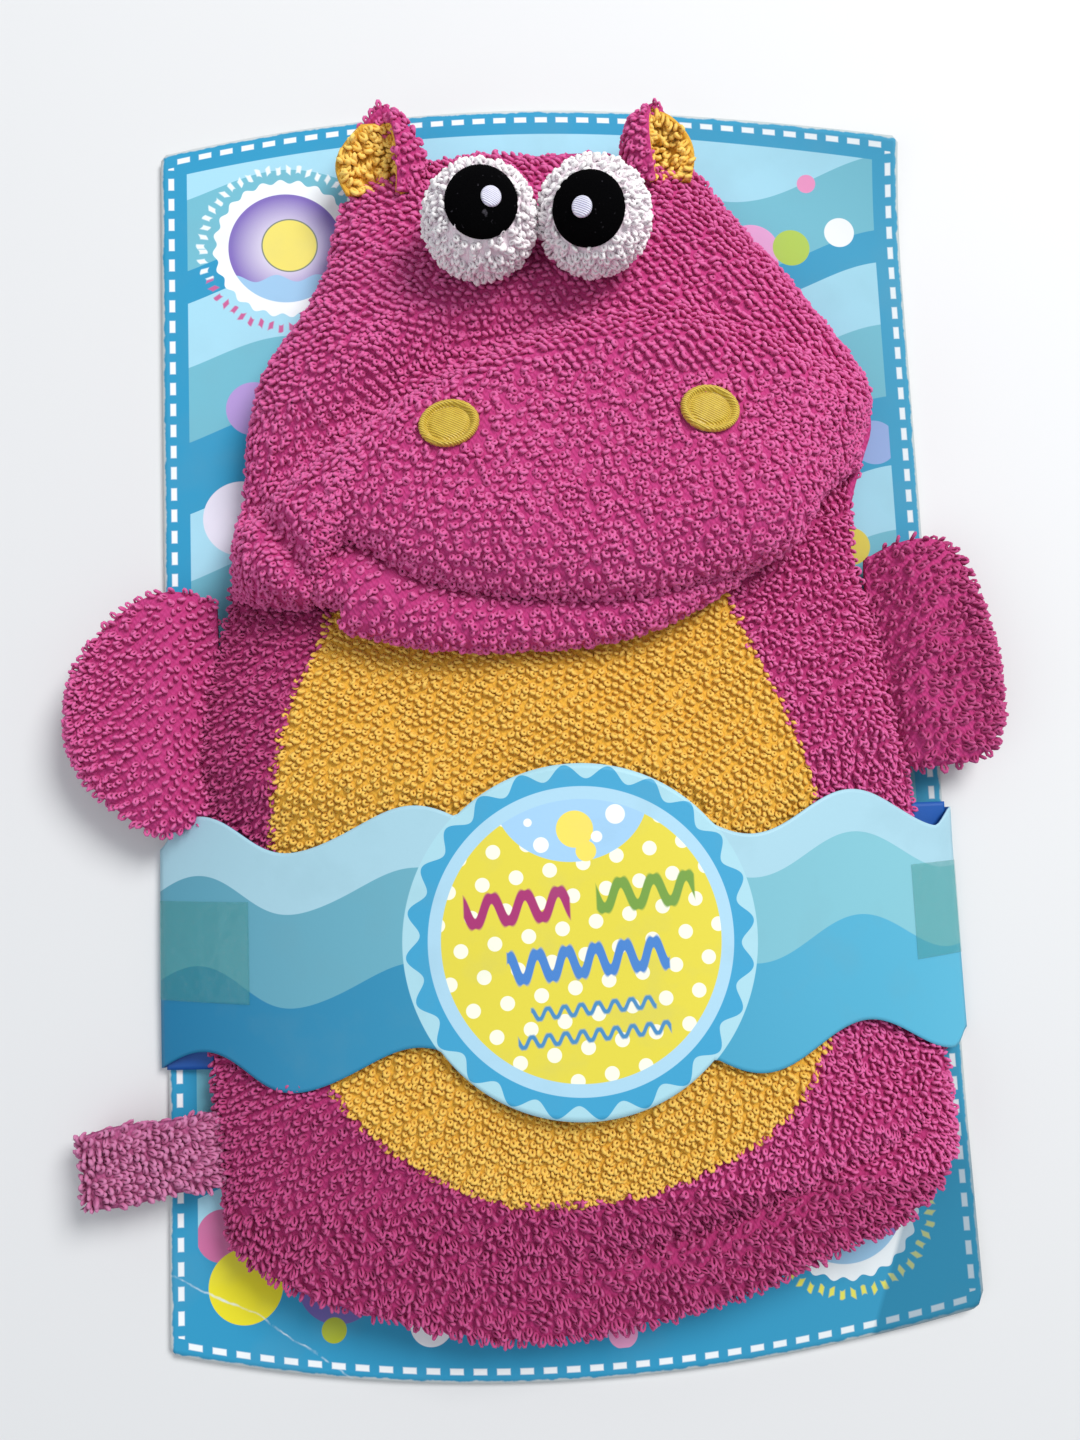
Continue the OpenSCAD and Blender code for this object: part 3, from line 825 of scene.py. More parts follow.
def wrap_print():
    """Three bands of water under a wavy edge, and a round badge, laid out by the Print map."""
    made, tree, shader = new_material("wrap_print")
    place = node(tree, "ShaderNodeUVMap", uv_map="Print").outputs[0]
    body_place = object_place(tree)
    x, y = plane_terms(tree, place)
    ripple = ((x - WAVE_AT) * (TAU / WAVE_LEN) + math.pi / 2).sin() * WAVE_H
    depth = -(y - ripple) + WRAP_W / 2
    right = ((x + 30.0) / 60.0).clamp()
    # painted light: each band is darker on the left and lighter towards the right, where the light falls
    deep = over(tree, ((x + 80.0) / 160.0).clamp(), rgb(84, 176, 208), rgb(4, 120, 166))
    middle = over(tree, ((x + 80.0) / 160.0).clamp(), rgb(130, 194, 208), rgb(88, 158, 182))
    colour = over(tree, (depth + right * 4.8 - 30.0).inside(), middle, deep)
    colour = over(tree, (depth + right * 3.4 - 12.0).inside(), rgb(164, 206, 222), colour)

    x = x - BADGE_X
    far = (x * x + y * y).root()
    angle = y.do("ARCTAN2", x)
    scallop = (angle * 24.0).sin() * 1.35
    colour = over(tree, (far - BADGE_R - 0.3).inside(), rgb(168, 214, 228), colour)
    colour = over(tree, (far - scallop - 32.4).inside(), rgb(60, 160, 204), colour)
    colour = over(tree, (far - 29.5).inside(), rgb(170, 212, 234), colour)

    # yellow disc with white spots in staggered rows
    disc = (far - 27.0).inside()
    gap = 6.6
    tilt = x * 0.985 + y * 0.174
    rise = y * 0.985 - x * 0.174
    row = (rise / (gap * 0.866)).do("FLOOR")
    shift = (row * 0.5).fraction() * gap
    du = (((tilt + shift) / gap).fraction() - 0.5) * gap
    dv = ((rise / (gap * 0.866)).fraction() - 0.5) * (gap * 0.866)
    spots = ((du * du + dv * dv).root() - 1.4).inside()
    yellow = over(tree, spots, rgb(246, 246, 226), rgb(224, 212, 70))

    # pale lens at the top, with bubbles in it
    lx, ly = x + 1.0, (y - 27.7) * (14.9 / 12.8)
    lens = ((lx * lx + ly * ly).root() - 14.9).inside()
    yellow = over(tree, lens, rgb(160, 204, 238), yellow)
    for px, py, r, ink in (
        (-9.6, 22.8, 0.8, (246, 248, 252)), (-7.2, 18.4, 1.5, (246, 248, 252)),
        (7.4, 23.8, 1.9, (246, 248, 252)), (-0.6, 21.2, 3.6, (242, 222, 96)),
        (1.4, 16.9, 2.0, (242, 222, 96)), (3.6, 19.6, 1.1, (246, 248, 252)),
    ):
        yellow = over(tree, (far_from(x, y, px, py) - r).inside(), rgb(*ink), yellow)

    # plain wavy strokes
    for px, py, half, thick, long, high, ink in (
        (-12.3, 6.6, 10.2, 1.0, 6.4, 2.2, (166, 48, 112)),
        (12.6, 8.6, 9.6, 1.0, 6.4, 2.2, (116, 158, 66)),
        (1.0, -4.0, 15.6, 1.0, 5.6, 2.1, (70, 130, 204)),
        (1.6, -13.0, 12.0, 0.42, 3.2, 0.9, (70, 138, 190)),
        (1.6, -18.0, 14.6, 0.42, 3.2, 0.9, (70, 138, 190)),
    ):
        along = x - px
        centre = (along * (TAU / long)).sin() * high + along * 0.06
        slope = (along * (TAU / long) + math.pi / 2).sin() * (TAU * high / long)
        near = (y - py - centre).abs() / (slope * slope + 1.0).root()
        stroke = (near - thick).most(along.abs() - half)
        yellow = over(tree, stroke.inside(0.3), rgb(*ink), yellow)
    colour = over(tree, disc, yellow, colour)

    # the inner face is plain deep blue
    back = node(tree, "ShaderNodeAttribute", attribute_name="inner").outputs["Fac"]
    colour = over(tree, Term(tree, back), rgb(10, 84, 170), colour)
    fibre = Term(tree, noise(tree, body_place, 900.0, 4.0))
    soil = Term(tree, noise(tree, body_place, 90.0, 4.0))
    colour = over(tree, ((soil - 0.52) * 0.5).most(0.0), rgb(110, 150, 160), colour)
    finish_look(tree, shader, colour, fibre, 0.1, 0.0002, Roughness=0.5, Specular_IOR_Level=0.35)
    return made


def wrap_path():
    """The wrap seen from the hem, from one turned-under end to the other: x from the card's middle, z."""
    arc_x = np.linspace(-WRAP_FOLD, WRAP_FOLD, 181)
    arc_z = wrap_inner(arc_x)
    flap_x = np.linspace(WRAP_FOLD - FLAP, WRAP_FOLD - 0.5, 14)
    left = np.stack([-flap_x, np.full(14, WRAP_T)], -1)
    bend = np.array([[-WRAP_FOLD, WRAP_T + 0.3]])
    arc = np.stack([arc_x, arc_z], -1)
    return np.concatenate([left, bend, arc, -bend * [1, -1], (left * [-1, 1])[::-1]])


def make_wrap():
    path = wrap_path()
    rows = 61
    u = np.linspace(0, 1, rows)[:, None]
    x = path[:, 0][None]
    low, top = wrap_edges(x)
    # the ends: rounded off at the left top and the right bottom, drawn up at the right top
    left_end = smooth((x + WRAP_FOLD) / -7 + 1)
    right_end = smooth((x - WRAP_FOLD) / 5 + 1)
    top = top - 3.4 * left_end**1.5 + 3.6 * right_end
    low = low + 3.4 * right_end**2 - 1.6 * smooth((x + WRAP_FOLD) / -20 + 1)
    y = low + (top - low) * u
    on_top = np.minimum(path[:, 1] - WRAP_T, 2) / 2
    curl = wrap_curl(x, y)
    z = path[:, 1][None] + (WRAP_T + curl * 0.6) * on_top[None]
    x = np.broadcast_to(x, y.shape)
    tilt = np.where(on_top[None] > 0.2, 1.0 + WRAP_T / WRAP_FOLD, 1.0)
    outer = np.stack([x * tilt + card_x, y + WRAP_Y, z], -1)
    uv = np.stack([wrap_shift(x) * MM, y * MM], -1)
    material = wrap_print()
    made = cloth("paper_wrap", outer, 0.35, material, uv)
    me = made.data
    inner = me.attributes.new("inner", "FLOAT", "POINT")
    inner.data.foreach_set("value", np.repeat([0.0, 1.0], outer.size // 3).astype(np.float32))
    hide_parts("wrap_band")
    put_on(made, "mitt_on_card")

    # the paper's deep blue inner side shows past the upper edge on the right; the deep blue strip under the
    # lower edge on the left is a painted shadow of the wrap on the card
    for name, side, end_y in (("right", 1, -23.2), ("left", -1, -71.2)):
        x, v = np.meshgrid(side * np.linspace(WRAP_FOLD - 10.5, WRAP_FOLD - 0.6, 24), np.linspace(-1, 0, 12))
        if side < 0:
            x, v = x[:, ::-1], v + 1
        z = 1.75 + 0.3 * (wrap_inner(x) - 1.6)
        tab_grid = np.stack([x + card_x, end_y + 11.0 * v, z], -1)
        tab = cloth(f"paper_wrap_inside_{name}", tab_grid, 0.3, material)
        tab.data.attributes.new("inner", "FLOAT", "POINT").data.foreach_set(
            "value", np.ones(len(tab.data.vertices), np.float32)
        )
        put_on(tab, "mitt_on_card")


def tape_material():
    made, tree, shader = new_material("clear_tape")
    place = object_place(tree)
    wrinkle = Term(tree, noise(tree, place, 220.0, 3.0))
    dust = Term(tree, noise(tree, place, 1400.0, 2.0))
    colour = over(tree, ((dust - 0.56) * 1.2).clamp(), rgb(200, 222, 216), rgb(84, 176, 170))
    finish_look(tree, shader, colour, wrinkle, 0.6, 0.0006, Roughness=0.12, Alpha=0.2)
    return made


def make_tape(side, middle_y, wide, reach, material):
    """A strip of clear tape over the wrap's end and round its fold."""
    x = side * np.linspace(WRAP_FOLD - reach, WRAP_FOLD, 40)
    y = np.linspace(-wide / 2, wide / 2, 40)
    if side < 0:
        x = x[::-1]
    x, y = np.meshgrid(x, y)
    y = y + 0.035 * (x - side * WRAP_FOLD) * side
    local_y = y + middle_y - WRAP_Y
    curl = wrap_curl(x, local_y)
    near_fold = np.minimum(wrap_inner(x) - WRAP_T, 2) / 2
    corner = bump(x, side * (WRAP_FOLD - reach), 6) * bump(local_y, wide / 2, 6)
    pucker = 0.10 * lumps(x, y, 3.0, 9) * (0.3 + 2.2 * corner)
    z = wrap_inner(x) + (WRAP_T + curl * 0.6) * near_fold + 0.16 + np.maximum(pucker, 0)
    grid = np.stack([x * (1 + (WRAP_T + 0.1) / WRAP_FOLD) + card_x, y + middle_y, z], -1)
    name = "left" if side < 0 else "right"
    made = cloth(f"clear_tape_{name}", grid, 0.08, material)
    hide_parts(f"wrap_tape_{name}")
    put_on(made, "mitt_on_card")


# ---- body of the mitt ----

ROOT_Y = -97.0
BODY_TOP_Y = 54.0
HEM_Y = -97
HEAD_EDGE_Y = 42.0
BELLY_LOW_Y = -97.6
body_left = table(
    (-126, -64.5), (-107, -66), (-73, -69.3), (-20, -73), (3.6, -70.2), (22, -65.4), (44, -62.5),
    (54, -56),
)
body_right = table(
    (-126, 79), (-95, 80.2), (-76, 79.5), (-23, 76.6), (-15, 75.2), (0, 73.4), (13.5, 71.3), (30, 68),
    (46, 67.5), (54, 66),
)
hem_line = table(
    (-1, -103.6), (-0.83, -111), (-0.56, -117.6), (-0.3, -122.4), (0, -122.2), (0.31, -117.4),
    (0.62, -109.4), (0.88, -101.4), (1, -93.5),
)
body_top = table(
    (-126, 11.8), (-112, 14.6), (-90, 18), (-70, 19.6), (-30, 19.8), (-10, 18.6), (5, 16.2), (20, 14),
    (46, 13),
)


def hem_share(level):
    """How much of the hem's curve is left at a level above it."""
    return np.clip((60 - (level - ROOT_Y)) / 60, 0, 1) ** 1.6


def body_rise(v):
    """Rise of the front across the mitt, v from -1 to 1."""
    return np.maximum(1 - abs(v) ** 3.4, 0) ** 0.52


def wrap_limit(x, y, z):
    """Presses the cloth down to lie under the wrap."""
    half = wrap_edges(x - card_x)[1]
    away = np.maximum(abs(y - WRAP_Y) - half, 0)
    limit = wrap_inner(x - card_x) - 2.2 + 0.05 * away**1.7
    return np.minimum(z, np.maximum(limit, seam_z))


def spread(cols):
    """Places from -1 to 1, closer together near both ends."""
    v = np.sin(np.linspace(-math.pi / 2, math.pi / 2, cols))[None, :]
    return np.sign(v) * abs(v) ** 0.9


def body_point(level, v):
    """Plan place of a point of the mitt: level along the side seams, v across."""
    x = mix(body_left(level), body_right(level), (v + 1) / 2)
    y = level + (hem_line(v) - ROOT_Y) * hem_share(level)
    return x, y


def front_height(x, y, v):
    z = seam_z + (body_top(y) - seam_z) * body_rise(v)
    z = z + 0.55 * lumps(x, y, 34, 11) * body_rise(v)
    # a soft crease above the hem, deepest on the right
    above_hem = y - hem_line(v)
    z = z - 4.2 * bump(above_hem, 13.6, 2.4) * smooth((v + 0.2) / 0.5) * body_rise(v)
    # the side seam stands up as a soft ridge beside the right arm
    z = z + 1.2 * bump(v, 0.9, 0.06) * bump(y, 5, 26)
    return wrap_limit(x, y, z)


def body_grid(front, rows=150, cols=81):
    level = np.linspace(ROOT_Y, BODY_TOP_Y, rows)[:, None]
    v = spread(cols)
    level, v = np.broadcast_arrays(level, v)
    x, y = body_point(level, v)
    if front:
        z = front_height(x, y, v)
    else:
        z = seam_z - (seam_z - under_z) * (1 - np.abs(v) ** 10) ** 0.5
    return np.stack([x, y, z], -1)


def with_hem(grid, roll=1.25, inside=9.0):
    """Adds the turned hem: the cloth rolls round the bottom edge and runs back inside."""
    n = normals(grid)[0]
    out = grid[0] - grid[1]
    out /= np.linalg.norm(out, axis=1, keepdims=True)
    rows = []
    for a in np.linspace(0, math.pi, 7)[1:]:
        rows.append(grid[0] + out * roll * math.sin(a) - n * roll * (1 - math.cos(a)))
    rows.append(rows[-1] - out * inside)
    return np.concatenate([np.array(rows)[::-1], grid])


def make_body():
    front = with_hem(body_grid(True))
    back = with_hem(body_grid(False)[:, ::-1])

    def seen_front(place):
        x, y, z = place.T
        on_belly = belly_inside(x, y, 1.2) & (z > 8)
        under_wrap = wrap_hides(x, y)
        under_lip = (y > lip_low(x) + 6) & (x < 47)
        return ~(on_belly | under_wrap | under_lip) & (y < np.where(x > 44, 51, HEAD_EDGE_Y))

    # painted shade: the front cloth, and the loops on the left side and on the hem, take the darker shaded
    # pink; the right side keeps the plain pink
    cloth_front = cloth("front_cloth", front, 1.6, shaded_ground)
    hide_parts("front_panel")
    cloth_back = cloth("back_cloth", back, 1.6, pink_ground)
    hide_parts("back_panel")
    loops = [
        towelling(
            "front_left_loops", front, shaded_loop, SIDE_LOOPS, 21,
            lambda p, n: seen_front(p) & (p[:, 1] > HEM_Y) & (p[:, 0] < 0),
        ),
        towelling(
            "front_right_loops", front, pink_loop, SIDE_LOOPS, 21,
            lambda p, n: seen_front(p) & (p[:, 1] > HEM_Y) & (p[:, 0] >= 0),
        ),
        towelling(
            "hem_loops", front, shaded_loop, HEM_LOOPS, 22,
            lambda p, n: seen_front(p) & (p[:, 1] <= HEM_Y) & (n[:, 2] > -0.75),
        ),
        towelling(
            "back_edge_loops", back, pink_loop, PLAIN_LOOPS, 23,
            lambda p, n: (n[:, 2] > -0.97) | (p[:, 1] < -112),
        ),
    ]
    for piece in (cloth_front, cloth_back, *loops):
        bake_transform(piece)


belly_left = table(
    (-97.6, -1), (-97.0, -9), (-95.6, -15), (-92, -23.5), (-85, -34.5), (-75.3, -44.5), (-50, -54),
    (-23.7, -56.5), (0, -52.5), (16.3, -45.5), (30, -40),
)
belly_right = table(
    (-97.6, -1), (-97.0, 9), (-95.6, 17), (-92, 28), (-85, 41), (-75.3, 50), (-58, 57.6), (-32.4, 57),
    (-2.1, 48), (22.1, 38.3), (30, 36),
)


def belly_inside(x, y, margin):
    across = (x > belly_left(y) + margin) & (x < belly_right(y) - margin)
    return across & (y > BELLY_LOW_Y + margin) & (y < 28)


def wrap_hides(x, y):
    """Is a place well under the wrap?"""
    low, top = wrap_edges(x - card_x)
    return (y - WRAP_Y < top - HIDDEN_IN) & (y - WRAP_Y > low + HIDDEN_IN)


def height_at(x, y):
    """Height of the mitt's front over a plan place."""
    v = np.zeros_like(x)
    level = y.copy()
    for _ in range(12):
        v = np.clip(2 * (x - body_left(level)) / (body_right(level) - body_left(level)) - 1, -1, 1)
        level = mix(level, y - (hem_line(v) - ROOT_Y) * hem_share(level), 0.6)
    return front_height(x, y, v)


def make_belly():
    rows = 130
    y = -97.5 + 125.5 * (1 - np.cos(np.linspace(0, math.pi * 0.62, rows))) / (1 - math.cos(math.pi * 0.62))
    v = np.linspace(-1, 1, 71)[None, :]
    left, right = belly_left(y)[:, None], belly_right(y)[:, None]
    x = mix(left, right, (v + 1) / 2)
    y = np.broadcast_to(y[:, None], x.shape)
    z = height_at(x, y) + 0.35
    edge = np.minimum(np.minimum(x - left, right - x), y - BELLY_LOW_Y)
    z = z - 0.7 * (1 - smooth(edge / 1.8))
    grid = np.stack([x, y, z], -1)
    piece = cloth("belly_cloth", grid, 0.9, yellow_ground)
    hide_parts("belly_panel")
    loops = towelling(
        "belly_loops", grid, yellow_loop, BELLY_LOOPS, 31,
        lambda p, n: ~wrap_hides(p[:, 0], p[:, 1]) & (p[:, 1] < lip_low(p[:, 0]) + 6),
        turn=-32,
    )
    for made in (piece, loops):
        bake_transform(made)


# ---- head ----

lip_low = table(
    (-47, 21.6), (-46.2, 20.4), (-43.3, 17.6), (-39.3, 15), (-29.3, 12.3), (-15.4, 10.2), (-1.4, 10.2),
    (10.7, 11), (19, 13), (27.5, 16.4), (36.1, 20.8), (40.7, 24), (47, 27), (60, 40),
)
crease_x = table(
    (-1, -63.5), (-0.9, -59), (-0.8, -53), (-0.72, -47.6), (-0.66, -44.8), (-0.6, -42), (-0.55, -39),
    (-0.48, -34.2), (-0.4, -28.5), (-0.32, -22.7), (-0.15, -9.1), (0, 2.7), (0.2, 18.5), (0.35, 31),
    (0.48, 41), (0.58, 49.6), (0.68, 54.5), (0.78, 58.8), (0.88, 63.5), (1, 69.3),
)
crease_y = table(
    (-1, 25.3), (-0.9, 22.8), (-0.8, 21.2), (-0.72, 21), (-0.66, 23.5), (-0.6, 29), (-0.55, 32),
    (-0.48, 29.8), (-0.4, 25.8), (-0.32, 23), (-0.15, 20), (0, 19.2), (0.2, 19.1), (0.35, 22),
    (0.48, 24.8), (0.58, 28.6), (0.68, 34.4), (0.78, 40.8), (0.88, 45.4), (1, 49),
)
crease_z = table(
    (-1, 8.5), (-0.9, 11), (-0.8, 13), (-0.72, 14.5), (-0.66, 17), (-0.6, 20.5), (-0.55, 22.5),
    (-0.4, 23.6), (0, 24), (0.35, 22.6), (0.58, 18.5), (0.78, 14.5), (0.9, 11.5), (1, 9),
)
head_left = table(
    (25, -64.5), (39, -62.2), (49.7, -60.9), (58.3, -60.2), (63.7, -59.2), (72.4, -56.5), (80, -51.5),
    (86.6, -47.1), (94.4, -43.4), (104.5, -41), (112.4, -37.8), (118, -31), (122, -22),
)
head_right = table(
    (27, 66), (37.3, 67.2), (43.9, 68.5), (51.6, 71.2), (58.2, 73.4), (66, 72.4), (74, 68.3),
    (82.1, 62.3), (91.4, 56.3), (97.9, 51.2), (104.9, 46.1), (112.4, 41), (117.6, 36.6), (122, 28),
)
forehead = table(
    (20, 23), (50, 25.5), (70, 26.8), (80, 25.6), (90, 22.6), (100, 19), (110, 14.4), (117, 10.6),
    (121.5, 7.5),
)
HEAD_SEAM_Z = 7.0


def head_top_y(v):
    return 122.4 - 4.0 * abs(v) ** 3 - 0.4 * np.cos(v * 7)


snout_ridge = table((-60, 36), (-37.2, 50.2), (-17, 61.5), (0.3, 68), (19.7, 70.6), (43, 68), (60, 60))


def head_height(x, y, v):
    snout = 33.4 - 0.0009 * (y - 46) ** 2
    past = y - snout_ridge(x)
    # the brow dips behind the snout, more on the left
    left = 1 - smooth((x + 15) / 45)
    brow = forehead(y) - (1.0 + 4.4 * left) * bump(past, 8, 7.5)
    top = mix(snout, brow, smooth((past + 3) / (13 - 4.5 * left)))
    z = HEAD_SEAM_Z + (top - HEAD_SEAM_Z) * np.maximum(1 - abs(v) ** 3.3, 0) ** 0.55
    # folds: down from the right eye, and from the corner of the mouth up the left cheek
    fold = (x - 37) * 0.93 + (y - 78) * 0.36
    z = z - 2.0 * bump(fold, 0, 4.5) * bump(y, 74, 16)
    fold = (x + 45) * 0.844 + (y - 23) * 0.535
    z = z - 4.2 * bump(fold, 0, 2.8) * smooth((50 - y) / 16) * smooth((y - 18) / 8)
    return z + 0.6 * lumps(x, y, 30, 17) * (1 - abs(v) ** 4)


def head_grid(rows=130, cols=101):
    u = np.linspace(0, 1, rows)[:, None] ** 1.15
    v = spread(cols)
    u, v = np.broadcast_arrays(u, v)
    y = mix(crease_y(v), head_top_y(v), u)
    x = mix(crease_x(v), mix(head_left(y), head_right(y), (v + 1) / 2), smooth(u * 3.5))
    z = head_height(x, y, v)
    roll = np.clip((y - crease_y(v)) / mix(8, 15, smooth((v + 0.74) / 0.14)), 0, 1)
    z = mix(crease_z(v), z, np.sqrt(1 - (1 - roll) ** 2))
    crown = np.clip((head_top_y(v) - y) / 5, 0, 1)
    z = mix(np.minimum(HEAD_SEAM_Z, z), z, np.sqrt(1 - (1 - crown) ** 2))
    return np.stack([x, y, z], -1)


def with_lip(grid):
    """Turns the muzzle's lower edge in under itself, into the mouth."""
    edge = grid[0]
    rows = []
    for back, down in ((0.9, 2.2), (3.2, 4.2), (6.5, 5.6), (10, 6.4)):
        share = np.clip((edge[:, 2] - HEAD_SEAM_Z) / 14, 0.12, 1)
        rows.append(edge + np.stack([0 * share, back * share, -down * share], -1))
    return np.concatenate([np.array(rows)[::-1], grid])


def make_head():
    front = with_lip(head_grid())
    skin = cloth("face_cloth", front, 1.6, pink_ground)
    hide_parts("head_front_panel", "throat_panel")
    rows, cols = 60, 61
    u = np.linspace(0, 1, rows)[:, None]
    v = np.sin(np.linspace(-math.pi / 2, math.pi / 2, cols))[None, :]
    u, v = np.broadcast_arrays(u, v)
    y = mix(14.0, head_top_y(v), u)
    x = mix(head_left(y), head_right(y), (v + 1) / 2)
    x = mix(x, mix(body_left(y) + 2, body_right(y) - 2, (v + 1) / 2), smooth((44 - y) / 20))
    rim = np.clip(1 - np.maximum(abs(v) ** 10, ((y - 14) / (head_top_y(v) - 14)) ** 14), 0, 1)
    z = HEAD_SEAM_Z - (HEAD_SEAM_Z - under_z) * rim**0.5
    back = np.stack([x, y, z], -1)[:, ::-1]
    rear = cloth("head_back_cloth", back, 1.6, pink_ground)
    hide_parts("head_back_panel")

    def clear_of_eyes(p):
        near = [np.hypot(p[:, 0] - e[0], p[:, 1] - e[1]) < 8.0 for e in (EYE_LEFT, EYE_RIGHT)]
        nostrils = (NOSTRIL_LEFT, NOSTRIL_RIGHT)
        holes = [np.hypot((p[:, 0] - e[0]) / 6.0, (p[:, 1] - e[1]) / 4.6) < 1 for e in nostrils]
        return ~(near[0] | near[1] | holes[0] | holes[1])

    split = 62.0
    loops = [
        towelling(
            "muzzle_loops", front, pink_loop, LIP_LOOPS, 41,
            lambda p, n: clear_of_eyes(p) & (p[:, 1] < split), turn=-57,
        ),
        towelling(
            "forehead_loops", front, pink_loop, PINK_LOOPS, 41,
            lambda p, n: clear_of_eyes(p) & (p[:, 1] >= split), turn=-57,
        ),
        towelling("head_back_loops", back, pink_loop, PLAIN_LOOPS, 43),
    ]
    for piece in (skin, rear, *loops):
        put_on(piece, "head")
    return front


def tube_rings(path, radii_y, radii_z, around=20):
    """Rings of an uneven roll along a path; its cross-section is upright."""
    direction = np.gradient(path, axis=0)
    direction /= np.linalg.norm(direction, axis=1, keepdims=True)
    out = np.stack([direction[:, 1], -direction[:, 0], 0 * direction[:, 0]], -1)
    out /= np.linalg.norm(out, axis=1, keepdims=True)
    a = np.linspace(0, TAU, around, endpoint=False)
    up = np.array([0.0, 0, 1])
    return (
        path[:, None]
        + out[:, None] * (np.cos(a)[None, :, None] * radii_y[:, None, None])
        + up * (np.sin(a)[None, :, None] * radii_z[:, None, None])
    )


def make_jaw():
    """The lower lip: a soft roll that is fat at the left cheek and fades out on the right."""
    t = np.linspace(0, 1, 90)
    x = mix(-45.8, 45.5, t)
    low = lip_low(x)
    across = np.linspace(-0.7, 0.7, 200)
    high = crease_y(np.interp(x, crease_x(across), across)) + 2.6
    mid_y = (low + high) / 2
    wide = (high - low) / 2
    mid_z = table((-46, 17.6), (-34, 19.4), (0, 19.6), (20, 19.4), (36, 18), (46, 16))(x)
    tall = table((-46, 6.2), (-36, 6.4), (-24, 5.2), (0, 4.6), (30, 4.0), (46, 2.6))(x)
    end = np.sqrt(np.clip(1 - np.abs(2 * t - 1) ** 9, 0.02, 1))
    path = np.stack([x, mid_y, mid_z + 0.3 * lumps(x, x * 0, 22, 7)], -1)
    rings = tube_rings(path, wide * end, tall * end, 28)
    skin = blob("lower_lip_cloth", rings, pink_ground)
    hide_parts("lower_jaw")
    ring_grid = np.concatenate([rings, rings[:, :1]], 1).transpose(1, 0, 2)
    loops = towelling(
        "lower_lip_loops", ring_grid, pink_loop, LIP_LOOPS, 51,
        lambda p, n: n[:, 2] > -0.8,
    )
    for piece in (skin, loops):
        put_on(piece, "jaw")
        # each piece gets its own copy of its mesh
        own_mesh(piece)

    # linings of the mouth, one on the jaw and one under the muzzle
    s = np.linspace(-0.52, 0.5, 50)[None, :]
    d = np.linspace(0, 1, 16)[:, None]
    cx, cy, cz = crease_x(s), crease_y(s), crease_z(s)
    fade = 1 - (abs(s) / 0.62) ** 4
    lower = np.stack(np.broadcast_arrays(
        cx + 0 * d, cy + 1.5 + d * 8 * fade, cz - 4.2 - d * 6 * fade - 1.2 * np.sin(d * math.pi)), -1)
    upper = np.stack(np.broadcast_arrays(
        cx + 0 * d, cy + 6 + d * 5 * fade, cz - 5.2 - d * 4.4 * fade), -1)
    for name, grid, cad, body in (
        ("lower_mouth_cloth", lower, "mouth_lower_lining", "jaw"),
        ("upper_mouth_cloth", upper[:, ::-1], "mouth_upper_lining", "head"),
    ):
        piece = cloth(name, grid, 0.8, mouth_ground)
        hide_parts(cad)
        put_on(piece, body)


# ---- eyes, nostrils, ears ----

EYE_LEFT = np.array([-10.3, 93.7, 31.0])
EYE_RIGHT = np.array([12.3, 94.1, 31.0])
EYE_R = 10.3
EYE_FOOT_Z = 20.8
PUPIL_R = 7.3
GLINT_R = 2.0
NOSTRIL_LEFT = np.array([-16.9, 51.5])
NOSTRIL_RIGHT = np.array([33.2, 52.9])


def dome(centre, radius, axis, reach, rows, cols=49):
    """Rings round axis from its tip out to the angle reach, on a ball."""
    axis = np.array(axis, float)
    axis /= np.linalg.norm(axis)
    side = np.cross(axis, [0, 1, 0])
    side /= np.linalg.norm(side)
    front = np.cross(side, axis)
    a = np.linspace(0.04, reach, rows)[:, None]
    b = np.linspace(0, TAU, cols)[None, :]
    local = (
        np.cos(a)[..., None] * axis
        + (np.sin(a) * np.cos(b))[..., None] * side
        + (np.sin(a) * np.sin(b))[..., None] * front
    )
    return centre + local * radius


def patch_mesh(name, centre, inner, outer, axis, reach, material):
    """A round patch on a ball: a rounded lens between two radii."""
    rings = []
    steps = 14
    for i in range(steps + 1):
        share = i / steps
        edge = math.sqrt(max(0.0, 1 - share**6))
        radius = inner + (outer - inner) * (0.35 + 0.65 * edge)
        rings.append(dome(centre, radius, axis, max(reach * share, 0.01), 2)[1])
    top = np.array(rings)[:, :-1]
    bottom = dome(centre, inner, axis, reach, 3)[::-1][:, :-1]
    return blob(name, np.concatenate([top, bottom]), material)


